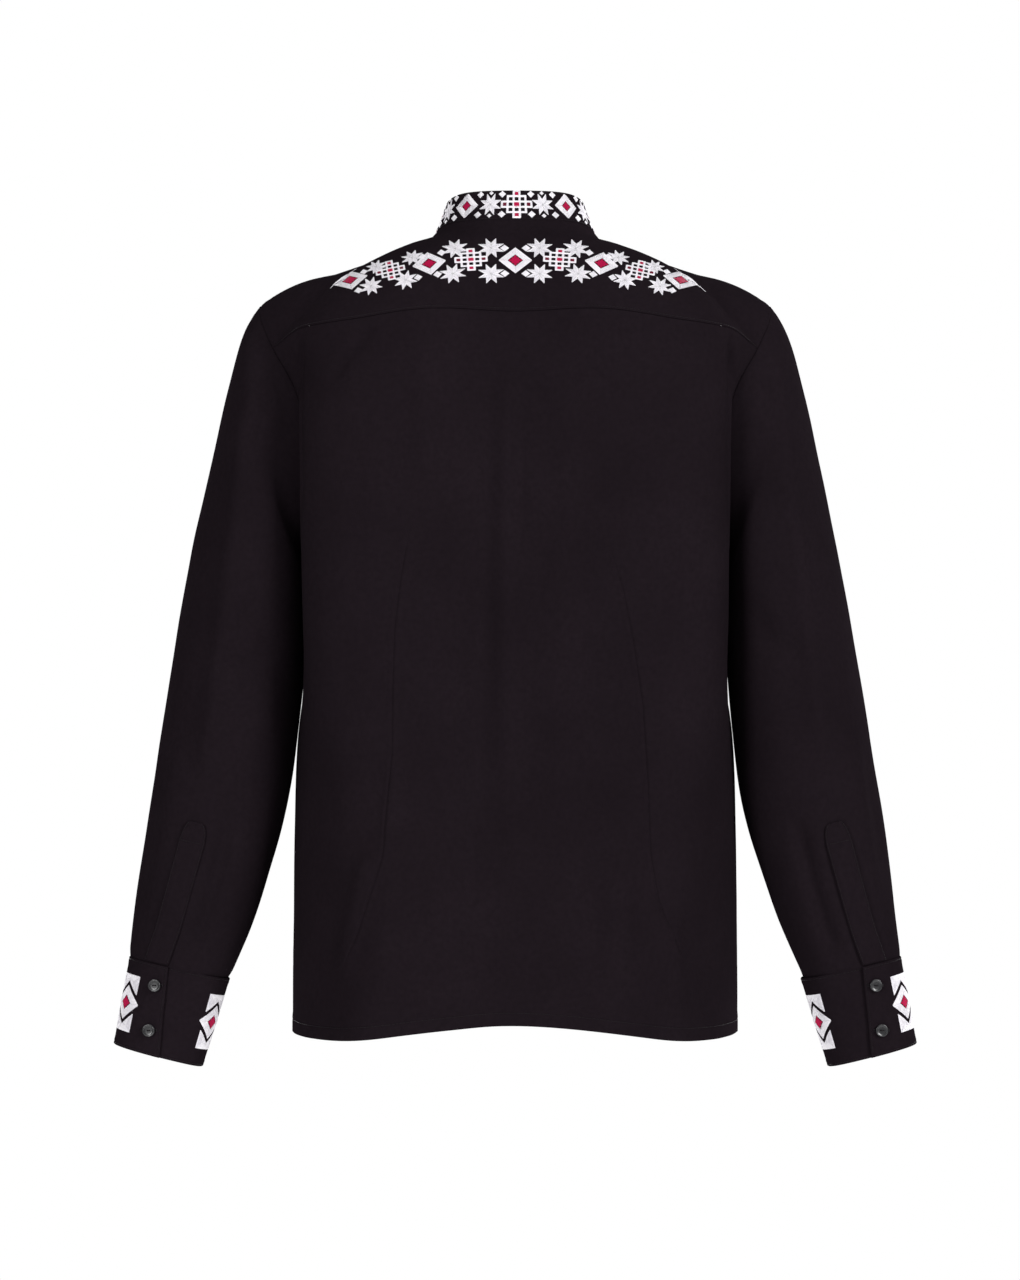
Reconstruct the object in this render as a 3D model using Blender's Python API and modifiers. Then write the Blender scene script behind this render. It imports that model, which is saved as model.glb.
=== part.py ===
"""Vyshyvanka shirt: a black long-sleeved shirt with a stand collar, a yoke and buttoned cuffs.

The shirt hangs in its worn, filled-out form. Every cloth piece is a thin shell of its own,
sewn edge to edge with its neighbours, and open at neck, hem and cuffs.
Units are metres. +Z is up, the back faces +Y, the front faces -Y, the wearer's left is +X,
and the origin is the middle of the neck opening at the height of the back neck seam.
Run it with: blender --background --python part.py
"""

import math
from collections import namedtuple

import bmesh
import bpy
import numpy as np
from mathutils import Matrix, Vector

COLLECTION = "vyshyvanka_shirt"

# Driving dimensions.
CLOTH = 0.0012  # wall of a single layer with its folded seams
COLLAR_WALL = 0.0020  # two layers and their stiffening
CUFF_WALL = 0.0018
PLACKET_WALL = 0.0010
SEAM_GAP = 0.0003  # between the edges of pieces sewn together
TURN_GAP = 0.00045  # more on each edge where the cloth turns at the seam, so inner sides stay clear
ARMHOLE_GAP = 0.0007  # the sleeve meets the body at a sharp angle
LAP_GAP = 0.0008  # between two layers that button over each other

NECK_HALF_WIDTH = 0.0705
NECK_BACK = 0.055
NECK_FRONT = -0.060
NECK_DROP = 0.070  # how far the neck seam falls from the back to the front
NECK_FALL_POWER = 2.3  # above 1, so that it falls late round the neck
COLLAR_HEIGHT = 0.0265
COLLAR_LEAN = 0.0095  # how far the collar's upper edge leans in
COLLAR_LOWER = 0.08  # share by which the collar is lower at the front
COLLAR_UPRIGHT = 0.25  # share by which it leans less at the front
FRONT_LAP = 0.014  # each front runs this far past the middle
LAP_EASE = (0.018, 0.048)  # from the middle out, the under layer comes up level between these
COLLAR_LAP_DEG = 11.5
COLLAR_EASE_DEG = (150.0, 170.0)
YOKE_SEAM_LIFT = 0.0075  # the back yoke seam rises by this midway to the shoulder blade
YOKE_LIFT_END = 0.52  # share of the seam where that rise has died out

CUFF_EDGE_DEG = (81.5, 93.0)  # where the upper layer ends, at the seam and at the opening
CUFF_UNDERLAP_DEG = 36.0
CUFF_EASE_DEG = (300.0, 350.0)  # round the strip, it dips under its own end between these
CUFF_INSET = CUFF_WALL + LAP_GAP
PLACKET_WIDTH = 0.025
PLACKET_INNER_DEG = (90.0, 81.5)  # its edge by the slit, at the top and at the cuff
PLACKET_TOP_ROW = 7.21  # in rows of SLEEVE_ROWS
PLACKET_TIP = 0.10  # share of its length over which the top is rounded
PLACKET_TIP_WIDTH = 0.45  # share of its width at the very top

BUTTON_RADIUS = 0.0055
BUTTON_THICKNESS = 0.0024
BUTTON_HOLE_RADIUS = 0.0007
BUTTON_HOLE_REACH = 0.0012  # from the button's middle to a hole's middle
BUTTON_STANDOFF = 0.0008
BUTTON_SIDES = 14
FRONT_BUTTONS = 7
FRONT_BUTTON_HEIGHTS = (-0.118, -0.598)  # the top and the bottom one

FOLD_AT = 0.67  # share of a body row between the middle and the fold beside the arm
NECK_SHARE = 0.34  # share of the front's upper edge that is neck seam

# The body's rows, hem first. A row runs from the middle to the fold beside the arm and on
# to the side seam or, higher up, to the armhole. turn and end_turn are the degrees through
# which the cloth has turned at the fold and at the end. armhole is the row's place in
# ARMHOLE, or None where it ends at the side seam.
BodyRow = namedtuple(
    "BodyRow", "name z_mid y_mid x_fold y_fold z_fold x_end z_end turn end_turn armhole"
)
BACK_ROWS = (
    BodyRow("hem", -0.6950, 0.1060, 0.150, 0.0900, -0.7085, 0.1942, -0.7070, 40, 90, None),
    BodyRow("hip", -0.6200, 0.1065, 0.150, 0.0900, -0.6230, 0.1936, -0.6215, 40, 90, None),
    BodyRow("seat", -0.5300, 0.1035, 0.152, 0.0870, -0.5310, 0.1930, -0.5310, 40, 90, None),
    BodyRow("waist", -0.4400, 0.1010, 0.168, 0.0790, -0.4400, 0.1845, -0.4400, 58, 90, None),
    BodyRow("ribs", -0.3600, 0.1050, 0.181, 0.0730, -0.3600, 0.1715, -0.3600, 76, 96, None),
    BodyRow("underarm", -0.2900, 0.1110, 0.1850, 0.0710, -0.2880, 0.1690, -0.2850, 80, 98, 7.0),
    BodyRow("low_armhole", -0.2450, 0.1140, 0.1860, 0.0710, -0.2430, None, None, 80, 118, 5.2),
    BodyRow("blade", -0.1880, 0.1145, 0.1860, 0.0720, -0.1850, None, None, 74, 112, 4.0),
    BodyRow("back_notch", -0.1330, 0.1110, 0.1850, 0.0730, -0.1320, None, None, 58, 78, 3.0),
    BodyRow("yoke_seam", -0.0819, 0.1000, 0.1820, 0.0730, -0.0938, None, None, 42, 52, 2.0),
)
FRONT_ROWS = (
    BodyRow("hem", -0.7000, 0.1130, 0.150, 0.0930, -0.7090, 0.1942, -0.7070, 42, 90, None),
    BodyRow("hip", -0.6200, 0.1150, 0.150, 0.0940, -0.6230, 0.1936, -0.6215, 42, 90, None),
    BodyRow("seat", -0.5300, 0.1165, 0.152, 0.0930, -0.5310, 0.1930, -0.5310, 42, 90, None),
    BodyRow("waist", -0.4400, 0.1185, 0.168, 0.0880, -0.4400, 0.1845, -0.4400, 58, 90, None),
    BodyRow("ribs", -0.3600, 0.1215, 0.181, 0.0820, -0.3600, 0.1715, -0.3600, 76, 96, None),
    BodyRow("underarm", -0.2900, 0.1225, 0.1850, 0.0800, -0.2880, 0.1690, -0.2850, 80, 98, 7.0),
    BodyRow("low_armhole", -0.2450, 0.1200, 0.1860, 0.0780, -0.2430, None, None, 80, 118, 8.8),
    BodyRow("chest", -0.1880, 0.1110, 0.1860, 0.0740, -0.1850, None, None, 72, 112, 10.0),
    BodyRow("upper_chest", -0.1350, 0.0930, 0.1840, 0.0700, -0.1340, None, None, 54, 78, 11.0),
)

# The armhole's seam on the wearer's left, from the shoulder down the back and up the front.
SeamPoint = namedtuple("SeamPoint", "name x y z")
ARMHOLE = (
    SeamPoint("shoulder", 0.2247, -0.0020, -0.0728),
    SeamPoint("back_cap", 0.2208, 0.0230, -0.0889),
    SeamPoint("back_yoke_seam", 0.2105, 0.0410, -0.1107),
    SeamPoint("back_notch", 0.1922, 0.0510, -0.1433),
    SeamPoint("back_blade", 0.1790, 0.0525, -0.1900),
    SeamPoint("back_low", 0.1730, 0.0430, -0.2380),
    SeamPoint("back_under", 0.1698, 0.0240, -0.2730),
    SeamPoint("underarm", 0.1690, 0.0000, -0.2850),
    SeamPoint("front_under", 0.1698, -0.0250, -0.2730),
    SeamPoint("front_low", 0.1730, -0.0450, -0.2380),
    SeamPoint("front_chest", 0.1795, -0.0555, -0.1900),
    SeamPoint("front_notch", 0.1930, -0.0550, -0.1433),
    SeamPoint("front_yoke_seam", 0.2115, -0.0450, -0.1080),
    SeamPoint("front_cap", 0.2212, -0.0260, -0.0875),
)

UNDERARM = [point.name for point in ARMHOLE].index("underarm")

# The yoke's lines from the neck seam out to its edge: across is the line's place from the
# middle of the back to the front seam, neck_deg its angle round the neck, rise how far the
# cloth stands proud of the straight line, up and to the back, and slump its S-shape.
YokeLine = namedtuple("YokeLine", "name across neck_deg rise_y rise_z slump")
YOKE_LINES = (
    YokeLine("middle_back", 0.00, 0, 0.0060, 0.0030, 0.00),
    YokeLine("blade", 0.28, 34, 0.0090, 0.0090, 0.03),
    YokeLine("corner", 0.56, 64, 0.0080, 0.0160, 0.08),
    YokeLine("shoulder", 0.78, 90, 0.0000, 0.0000, 0.125),
    YokeLine("front_seam", 1.00, 117, -0.0060, 0.0070, 0.06),
)
YOKE_CORNER = YOKE_LINES[2].across
SLUMP_ZERO = 0.43  # share of the shoulder line where its hollow becomes its crown

# The left sleeve's rings below the armhole: the outer and the inner point of each ring
# as the arm hangs, the middle's place from front to back, and half its depth.
SleeveRow = namedtuple("SleeveRow", "name x_out z_out x_in z_in y_mid half_depth")
SLEEVE_ROWS = (
    SleeveRow("cap", 0.2362, -0.0935, 0.1800, -0.2900, -0.001, 0.0600),
    SleeveRow("high_biceps", 0.2514, -0.1447, 0.1805, -0.3160, 0.000, 0.0640),
    SleeveRow("biceps", 0.2673, -0.2149, 0.1820, -0.3540, 0.000, 0.0650),
    SleeveRow("low_biceps", 0.2825, -0.2851, 0.1850, -0.3970, -0.001, 0.0635),
    SleeveRow("elbow", 0.2958, -0.3552, 0.1895, -0.4400, -0.002, 0.0610),
    SleeveRow("below_elbow", 0.3082, -0.4254, 0.1955, -0.4870, -0.003, 0.0580),
    SleeveRow("forearm", 0.3191, -0.4955, 0.2048, -0.5290, -0.003, 0.0535),
    SleeveRow("low_forearm", 0.3287, -0.5657, 0.2212, -0.5823, -0.002, 0.0475),
    SleeveRow("wrist", 0.3340, -0.6120, 0.2360, -0.6235, -0.001, 0.0405),
    SleeveRow("cuff_seam", 0.3370, -0.6403, 0.2520, -0.6590, 0.000, 0.0335),
)
CUFF_ROWS = (
    SleeveRow("seam", 0.3379, -0.6408, 0.2503, -0.6604, 0.000, 0.0345),
    SleeveRow("middle", 0.3452, -0.6790, 0.2620, -0.6990, 0.000, 0.0325),
    SleeveRow("opening", 0.3519, -0.7174, 0.2742, -0.7376, 0.000, 0.0310),
)
CUFF_BUTTONS = ((0.23, 71.8), (0.73, 76.5))  # share of the cuff's height, degrees round it
RING_SQUARENESS = 2.25  # 2 is an ellipse

# The body's largest folds, as straight soft ridges that stand out, or troughs where height
# is below zero, with their top and bottom ends. side 1 is the back and -1 the front.
Fold = namedtuple("Fold", "side x_top z_top x_bottom z_bottom width height")
FOLDS = (
    Fold(1, 0.100, -0.500, 0.134, -0.730, 0.024, 0.0070),
    Fold(1, -0.104, -0.500, -0.138, -0.730, 0.024, 0.0080),
    Fold(1, 0.030, -0.120, 0.022, -0.730, 0.020, -0.0045),
    Fold(1, -0.078, -0.120, -0.070, -0.480, 0.034, -0.0040),
    Fold(-1, 0.092, -0.340, 0.120, -0.730, 0.026, 0.0070),
    Fold(-1, -0.096, -0.360, -0.126, -0.730, 0.026, 0.0065),
    Fold(-1, 0.048, -0.420, 0.052, -0.730, 0.020, -0.0040),
    Fold(-1, -0.050, -0.400, -0.058, -0.730, 0.020, -0.0040),
)

# Mesh steps. Pieces that meet share their places along the seam.
BACK_COLUMNS = 10
NECK_STEPS = 4
YOKE_STEPS = 6
CAP_STEPS = 6
ROW_STEPS = 2
CUFF_COLUMNS = 30
SEAM_SAMPLES = 281
EDGE_POWER = 5  # how sharply a panel's edge correction dies out towards the middle

BLACK_CLOTH = (0.013, 0.011, 0.012, 1.0)
BAND_CLOTH = (0.016, 0.013, 0.015, 1.0)
BLACK_BUTTON = (0.008, 0.008, 0.009, 1.0)


def through(rows, at):
    """Points of the smooth surface through the rows; at counts rows, so 1.5 is midway."""
    rows = np.asarray(rows, float)
    steps = np.diff(rows, axis=0)
    gaps = np.linalg.norm(steps, axis=2).mean(axis=1)[:, None, None]
    slopes = steps / gaps
    inner = (slopes[:-1] * gaps[1:] + slopes[1:] * gaps[:-1]) / (gaps[:-1] + gaps[1:])
    tangents = np.concatenate([slopes[:1], inner, slopes[-1:]])
    found = []
    for place in at:
        first = min(max(int(place), 0), len(rows) - 2)
        span = gaps[first]
        found.append(
            hermite(
                rows[first],
                rows[first + 1],
                tangents[first] * span,
                tangents[first + 1] * span,
                place - first,
            )
        )
    return np.array(found)


def hermite(start, end, start_slope, end_slope, share):
    square = share * share
    cube = square * share
    return (
        (2 * cube - 3 * square + 1) * start
        + (cube - 2 * square + share) * start_slope
        + (3 * square - 2 * cube) * end
        + (cube - square) * end_slope
    )


def smooth_step(value):
    value = np.clip(value, 0.0, 1.0)
    return value * value * (3 - 2 * value)


def eased(value, ends):
    """0 up to the first end and 1 beyond the second, smooth between them."""
    return smooth_step((value - ends[0]) / (ends[1] - ends[0]))


def mirrored(points):
    return np.asarray(points) * (-1.0, 1.0, 1.0)


def armhole_points(at):
    """The armhole seam at the given places, which count ARMHOLE's points and wrap round."""
    count = len(ARMHOLE)
    loop = [[(point.x, point.y, point.z)] for point in ARMHOLE]
    wrapped = loop[-2:] + loop + loop[:3]
    return through(wrapped, [place % count + 2 for place in at])[:, 0]


def neck_point(degrees):
    """The neck seam, from 0 at the middle of the back to 180 at the middle of the front."""
    angle = math.radians(degrees)
    middle = (NECK_BACK + NECK_FRONT) / 2
    reach = (NECK_BACK - NECK_FRONT) / 2
    fall = ((1 - math.cos(angle)) / 2) ** NECK_FALL_POWER
    return np.array(
        (NECK_HALF_WIDTH * math.sin(angle), middle + reach * math.cos(angle), -NECK_DROP * fall)
    )


def body_row(row, side, shares):
    """One row of the left half of a body panel; side is 1 on the back and -1 on the front."""
    if row.armhole is None:
        end = np.array((row.x_end, 0.0, row.z_end))
    else:
        end = armhole_points([row.armhole])[0]
    start = np.array((0.0, side * row.y_mid, row.z_mid))
    fold = np.array((row.x_fold, side * row.y_fold, row.z_fold))
    inner = np.linalg.norm(fold - start)
    outer = np.linalg.norm(end - fold)

    def heading(degrees, rise):
        angle = math.radians(degrees)
        return np.array((math.cos(angle), -side * math.sin(angle), rise))

    fold_rise = (end[2] - start[2]) / (inner + outer)
    end_rise = (end[2] - fold[2]) / outer
    first = heading(0, 0)
    middle = heading(row.turn, fold_rise)
    last = heading(row.end_turn, end_rise)
    points = []
    for share in shares:
        if share <= FOLD_AT:
            place = share / FOLD_AT
            points.append(hermite(start, fold, first * inner, middle * inner, place))
        else:
            place = (share - FOLD_AT) / (1 - FOLD_AT)
            points.append(hermite(fold, end, middle * outer, last * outer, place))
    return np.array(points)


def yoke_line(across):
    """The table's values for one line of the yoke, eased from row to row."""
    values = [[[line.neck_deg, line.rise_y, line.rise_z, line.slump]] for line in YOKE_LINES]
    at = np.interp(across, [line.across for line in YOKE_LINES], range(len(YOKE_LINES)))
    return through(values, [at])[0, 0]


def yoke_edge(across):
    """The yoke's outer edge: along the back seam to the corner, then up the armhole."""
    if across <= YOKE_CORNER:
        return body_row(BACK_ROWS[-1], 1, [across / YOKE_CORNER])[0] + lift_of_seam(across)
    share = (across - YOKE_CORNER) / (1 - YOKE_CORNER)
    return armhole_points([2 - 4 * share])[0]


def lift_of_seam(across):
    """How far the back yoke seam rises at a place across the yoke."""
    share = np.clip(across / YOKE_CORNER / YOKE_LIFT_END, 0.0, 1.0)
    return np.array((0.0, 0.0, YOKE_SEAM_LIFT * math.sin(math.pi * share) ** 2))


def yoke_points(across, shares):
    """One line of the yoke's left half, from the neck seam to the outer edge."""
    neck_deg, rise_y, rise_z, slump = yoke_line(across)
    neck = neck_point(neck_deg)
    edge = yoke_edge(across)
    points = []
    for share in shares:
        crown = 4 * share * (1 - share)
        wave = slump * share * (1 - share) * (share - SLUMP_ZERO)
        rise = np.array((0.0, rise_y * crown, rise_z * crown + wave))
        points.append(neck * (1 - share) + edge * share + rise)
    return np.array(points)


def yoke_places():
    """Where the yoke's lines lie, matching the back's columns and the sleeve's points."""
    seam = np.linspace(0, YOKE_CORNER, BACK_COLUMNS + 1)
    cap = np.linspace(YOKE_CORNER, 1, CAP_STEPS + 1)
    return np.concatenate([seam, cap[1:]])


def front_shares():
    """Where the front's columns lie, matching the collar's columns and the yoke's steps."""
    neck = np.linspace(0, NECK_SHARE, NECK_STEPS + 1)
    seam = np.linspace(NECK_SHARE, 1, YOKE_STEPS + 1)
    return np.concatenate([neck, seam[1:]])


def row_stations(side):
    """The armhole places of a body panel's rows, from the underarm up."""
    table = BACK_ROWS if side > 0 else FRONT_ROWS
    stations = [row.armhole for row in table if row.armhole is not None]
    if side < 0:
        stations.append(len(ARMHOLE) - 2.0)
    count = (len(stations) - 1) * ROW_STEPS + 1
    return np.interp(np.linspace(0, len(stations) - 1, count), range(len(stations)), stations)


def back_rows(shares):
    rows = [body_row(row, 1, shares) for row in BACK_ROWS]
    rows[-1] = np.array([yoke_edge(share * YOKE_CORNER) for share in shares])
    return rows


def front_rows(shares):
    """The front's rows end with its upper edge: the neck seam, then the front yoke seam."""
    front_seam = YOKE_LINES[-1]
    top = []
    for share in shares:
        if share <= NECK_SHARE:
            top.append(neck_point(180 - (180 - front_seam.neck_deg) * share / NECK_SHARE))
        else:
            place = (share - NECK_SHARE) / (1 - NECK_SHARE)
            top.append(yoke_points(front_seam.across, [place])[0])
    return [body_row(row, -1, shares) for row in FRONT_ROWS] + [np.array(top)]


def add_folds(points, side):
    """Moves the points of a body panel out, or in, along y by the folds they lie on."""
    moved = points.copy()
    for fold in FOLDS:
        if fold.side != side:
            continue
        down = np.clip((fold.z_top - points[..., 2]) / (fold.z_top - fold.z_bottom), 0.0, 1.0)
        line = fold.x_top + (fold.x_bottom - fold.x_top) * down
        spread = np.exp(-(((points[..., 0] - line) / fold.width) ** 2))
        start = smooth_step(1.6 * down)
        moved[..., 1] += side * fold.height * spread * start
    return moved


def half_body(rows, side):
    """A body panel's left half as rows of points, its armhole edge exactly on the seam."""
    table = BACK_ROWS if side > 0 else FRONT_ROWS
    at = np.linspace(0, len(rows) - 1, (len(rows) - 1) * ROW_STEPS + 1)
    grid = through(rows, at)
    under = [row.name for row in table].index("underarm")
    stations = row_stations(side)
    side_seam = [rows[index][-1:] for index in range(under + 1)]
    weights = np.linspace(0, 1, grid.shape[1])[:, None] ** EDGE_POWER
    for index, place in enumerate(at):
        if place > under:
            edge = armhole_points([stations[index - under * ROW_STEPS]])[0]
        else:
            edge = through(side_seam, [place])[0, 0]
        grid[index] += (edge - grid[index, -1]) * weights
    return grid


def pulled_in(grid, edge, distance):
    """The grid with one edge drawn back from the seam: edge is low, high, left or right."""
    grid = grid.copy()
    view = grid if edge in ("low", "high") else np.swapaxes(grid, 0, 1)
    if edge in ("high", "right"):
        view = view[::-1]
    step = view[1] - view[0]
    view[0] += step / np.linalg.norm(step, axis=-1, keepdims=True) * distance
    return grid


def back_grid():
    half = half_body(back_rows(np.linspace(0, 1, BACK_COLUMNS + 1)), 1)
    grid = np.concatenate([mirrored(half[:, :0:-1]), half], axis=1)
    grid = add_folds(grid, 1)
    for edge in ("high", "left", "right"):
        grid = pulled_in(grid, edge, SEAM_GAP / 2 + TURN_GAP)
    return grid


def front_grid(left):
    """A front from past the middle to its side seam; the left one passes under the right."""
    shares = front_shares()
    lap_share = NECK_SHARE * COLLAR_LAP_DEG / (180 - YOKE_LINES[-1].neck_deg)
    half = half_body(front_rows(np.insert(shares, 1, lap_share)), -1)
    half[:-1, 1, 0] = FRONT_LAP
    grid = np.concatenate([mirrored(half[:, 1:2]), half], axis=1)
    if not left:
        grid = mirrored(grid)
    grid = add_folds(grid, -1)
    if left:
        under = 1 - eased(grid[..., 0], LAP_EASE)
        grid[..., 1] += (CLOTH + LAP_GAP) * under
    for edge in ("high", "right"):
        grid = pulled_in(grid, edge, SEAM_GAP / 2 + TURN_GAP)
    return grid


def yoke_grid():
    shares = np.linspace(0, 1, YOKE_STEPS + 1)
    half = np.array([yoke_points(place, shares) for place in yoke_places()])
    grid = np.concatenate([mirrored(half[:0:-1]), half], axis=0)
    for edge in ("high", "low", "right"):
        grid = pulled_in(grid, edge, SEAM_GAP / 2 + TURN_GAP)
    return grid


def ring_point(row, degrees):
    """A ring's point: 0 is the outer side, 90 the back, 180 the side next to the body."""
    angle = math.radians(degrees)
    outer = np.array((row.x_out, row.y_mid, row.z_out))
    inner = np.array((row.x_in, row.y_mid, row.z_in))
    power = 2 / RING_SQUARENESS
    along = math.copysign(abs(math.cos(angle)) ** power, math.cos(angle))
    across = math.copysign(abs(math.sin(angle)) ** power, math.sin(angle))
    middle = (outer + inner) / 2
    return middle + (outer - inner) / 2 * along + np.array((0, row.half_depth, 0)) * across


def seam_angles():
    """The ring angles of the seam's points, by their share of its length from the shoulder."""
    places = np.linspace(0, len(ARMHOLE), SEAM_SAMPLES)
    steps = np.diff(armhole_points(places), axis=0)
    run = np.concatenate([[0], np.cumsum(np.linalg.norm(steps, axis=1))])
    under = np.interp(UNDERARM, places, run)
    half_turns = np.interp(run, [0, under, run[-1]], [0, 180, 360])
    return places, half_turns


def armhole_ring(angles):
    """The armhole seam's points at the given ring angles."""
    places, turns = seam_angles()
    return armhole_points(np.interp(np.mod(angles, 360), turns, places))


def sleeve_angles():
    """Ring angles that meet the body's rows and the yoke's lines along the armhole."""
    cap = np.linspace(2, -2, CAP_STEPS + 1)[1:-1]
    stations = np.concatenate([row_stations(1)[::-1][:-1], row_stations(-1), cap[::-1]])
    places, turns = seam_angles()
    return np.sort(np.interp(np.mod(stations, len(ARMHOLE)), places, turns))


def sleeve_rows(angles):
    rings = [[ring_point(row, degrees) for degrees in angles] for row in SLEEVE_ROWS]
    return [armhole_ring(angles)] + [np.array(ring) for ring in rings]


def sleeve_grid():
    """Rings of the left sleeve from the armhole down; the last point of a ring is open."""
    rows = sleeve_rows(sleeve_angles())
    grid = through(rows, [0, *np.arange(1, 6.5, 0.5), *range(7, len(rows))])
    grid = pulled_in(grid, "low", ARMHOLE_GAP)
    return pulled_in(grid, "high", SEAM_GAP)


def sleeve_frame(at, degrees):
    """A point of the sleeve's surface and the way the surface faces there."""
    step_deg = 4.0
    step_row = 0.05
    angles = [degrees - step_deg, degrees, degrees + step_deg]
    rows = sleeve_rows(angles)
    above, here, below = through(rows, [at - step_row, at, at + step_row])
    normal = np.cross(below[1] - above[1], here[2] - here[0])
    normal /= np.linalg.norm(normal)
    return here[1], normal


def placket_grid():
    """The strip over the sleeve's slit, on the sleeve's points moved out, its top rounded."""
    last_row = len(SLEEVE_ROWS) - 0.02
    tip = np.array((0.0, 0.2, 0.5, 1.0)) * PLACKET_TIP
    span_deg = 12.0
    grid = []
    for down in np.concatenate([tip, np.linspace(2.2 * PLACKET_TIP, 1, 7)]):
        at = PLACKET_TOP_ROW + (last_row - PLACKET_TOP_ROW) * down
        inner = PLACKET_INNER_DEG[0] + (PLACKET_INNER_DEG[1] - PLACKET_INNER_DEG[0]) * down
        rim, _ = sleeve_frame(at, inner)
        outward, _ = sleeve_frame(at, inner - span_deg)
        wide = span_deg * PLACKET_WIDTH / np.linalg.norm(rim - outward)
        rounding = math.sqrt(1 - (1 - min(down / PLACKET_TIP, 1.0)) ** 2)
        share = PLACKET_TIP_WIDTH + (1 - PLACKET_TIP_WIDTH) * rounding
        line = []
        for across in np.linspace(-0.5, 0.5, 5):
            degrees = inner - wide * (0.5 + across * share)
            point, normal = sleeve_frame(at, degrees)
            line.append(point + normal * (SEAM_GAP + PLACKET_WALL))
        grid.append(line)
    return np.array(grid)


def cuff_frame(share, degrees):
    """A point of the cuff's outer surface and the way it faces; share 0 is its seam."""
    rows = [[ring_point(row, degrees + turn) for turn in (-3, 0, 3)] for row in CUFF_ROWS]
    last = len(CUFF_ROWS) - 1
    above, here, below = through(rows, [share * last - 0.05, share * last, share * last + 0.05])
    normal = np.cross(below[1] - above[1], here[2] - here[0])
    normal /= np.linalg.norm(normal)
    return here[1], normal


def cuff_grid():
    """The cuff's strip, from its upper end round the outer side to the end underneath."""
    grid = []
    for share in np.linspace(0, 1, 4):
        start = CUFF_EDGE_DEG[0] + (CUFF_EDGE_DEG[1] - CUFF_EDGE_DEG[0]) * share
        line = []
        for place in np.linspace(0, 1, CUFF_COLUMNS + 1):
            turned = place * (360 + CUFF_UNDERLAP_DEG)
            point, normal = cuff_frame(share, start - turned)
            under = eased(turned, CUFF_EASE_DEG)
            line.append(point - normal * CUFF_INSET * under)
        grid.append(line)
    return np.array(grid)


def collar_point(degrees, share):
    """The collar's outer surface; share 0 is the neck seam and 1 the upper edge."""
    foot = neck_point(abs(degrees))
    angle = math.radians(abs(degrees))
    inward = np.array((-math.sin(angle), -math.cos(angle), 0.0))
    forward = eased(abs(degrees), (90.0, 180.0))
    lean = inward * COLLAR_LEAN * (1 - COLLAR_UPRIGHT * forward) * share
    rise = np.array((0.0, 0.0, COLLAR_HEIGHT * (1 - COLLAR_LOWER * forward) * share))
    point = foot + lean + rise
    return point if degrees >= 0 else mirrored(point)


def collar_degrees():
    """Where the collar's columns lie round the neck, matching the yoke and the fronts."""
    front_deg = YOKE_LINES[-1].neck_deg
    yoke = [yoke_line(place)[0] for place in yoke_places()]
    front = np.linspace(front_deg, 180, NECK_STEPS + 1)[1:]
    half = np.concatenate([yoke, front, [180 + COLLAR_LAP_DEG]])
    return np.concatenate([-half[:0:-1], half])


def collar_grid():
    """The stand collar from its right end, which laps over, round to its left end."""
    grid = []
    for share in (0.0, 0.35, 0.7, 1.0):
        line = []
        for degrees in collar_degrees():
            past = abs(degrees) > 180
            turned = math.copysign(360 - abs(degrees), -degrees) if past else degrees
            point = collar_point(turned, share)
            under = eased(degrees, COLLAR_EASE_DEG)
            line.append(point + np.array((0, (COLLAR_WALL + LAP_GAP) * under, 0)))
        grid.append(line)
    return pulled_in(np.array(grid), "low", SEAM_GAP)


def make_material(name, colour, roughness):
    material = bpy.data.materials.new(name)
    material.use_nodes = True
    shader = material.node_tree.nodes["Principled BSDF"]
    shader.inputs["Base Color"].default_value = colour
    shader.inputs["Roughness"].default_value = roughness
    shader.inputs["Metallic"].default_value = 0.0
    material.diffuse_color = colour
    return material


def make_collection(name, hidden):
    collection = bpy.data.collections.new(name)
    collection.hide_render = hidden
    bpy.context.scene.collection.children.link(collection)
    return collection


def make_shell(name, grid, wall, material, collection, closed=False, flipped=False):
    """A cloth piece: the grid's open surface, thickened inwards by Solidify.

    Each four-sided face starts at the corner from which its diagonal runs up and outwards,
    so the two halves of a piece are cut into the same triangles.
    """
    rows, columns = grid.shape[:2]
    inward = columns // 2 if grid[0, 0, 0] * grid[0, -1, 0] < 0 and not closed else 0
    shape = bmesh.new()
    verts = [[shape.verts.new(point) for point in line] for line in grid]
    for row in range(rows - 1):
        for column in range(columns if closed else columns - 1):
            after = (column + 1) % columns
            near, far = (after, column) if column < inward else (column, after)
            corners = [verts[row][near], verts[row][far], verts[row + 1][far], verts[row + 1][near]]
            backwards = flipped != (column < inward)
            shape.faces.new([corners[0], *corners[:0:-1]] if backwards else corners)
    mesh = bpy.data.meshes.new(name)
    shape.to_mesh(mesh)
    shape.free()
    mesh.materials.append(material)
    mesh.shade_smooth()
    piece = bpy.data.objects.new(name, mesh)
    collection.objects.link(piece)
    solidify = piece.modifiers.new("wall", "SOLIDIFY")
    solidify.thickness = wall
    solidify.offset = -1.0
    solidify.use_even_offset = True
    solidify.use_rim = True
    return piece


def mirrored_shell(name, grid, wall, material, collection, closed=False, flipped=False):
    """The same piece on the wearer's right."""
    turned = mirrored(grid)
    return make_shell(name, turned, wall, material, collection, closed, not flipped)


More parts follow.
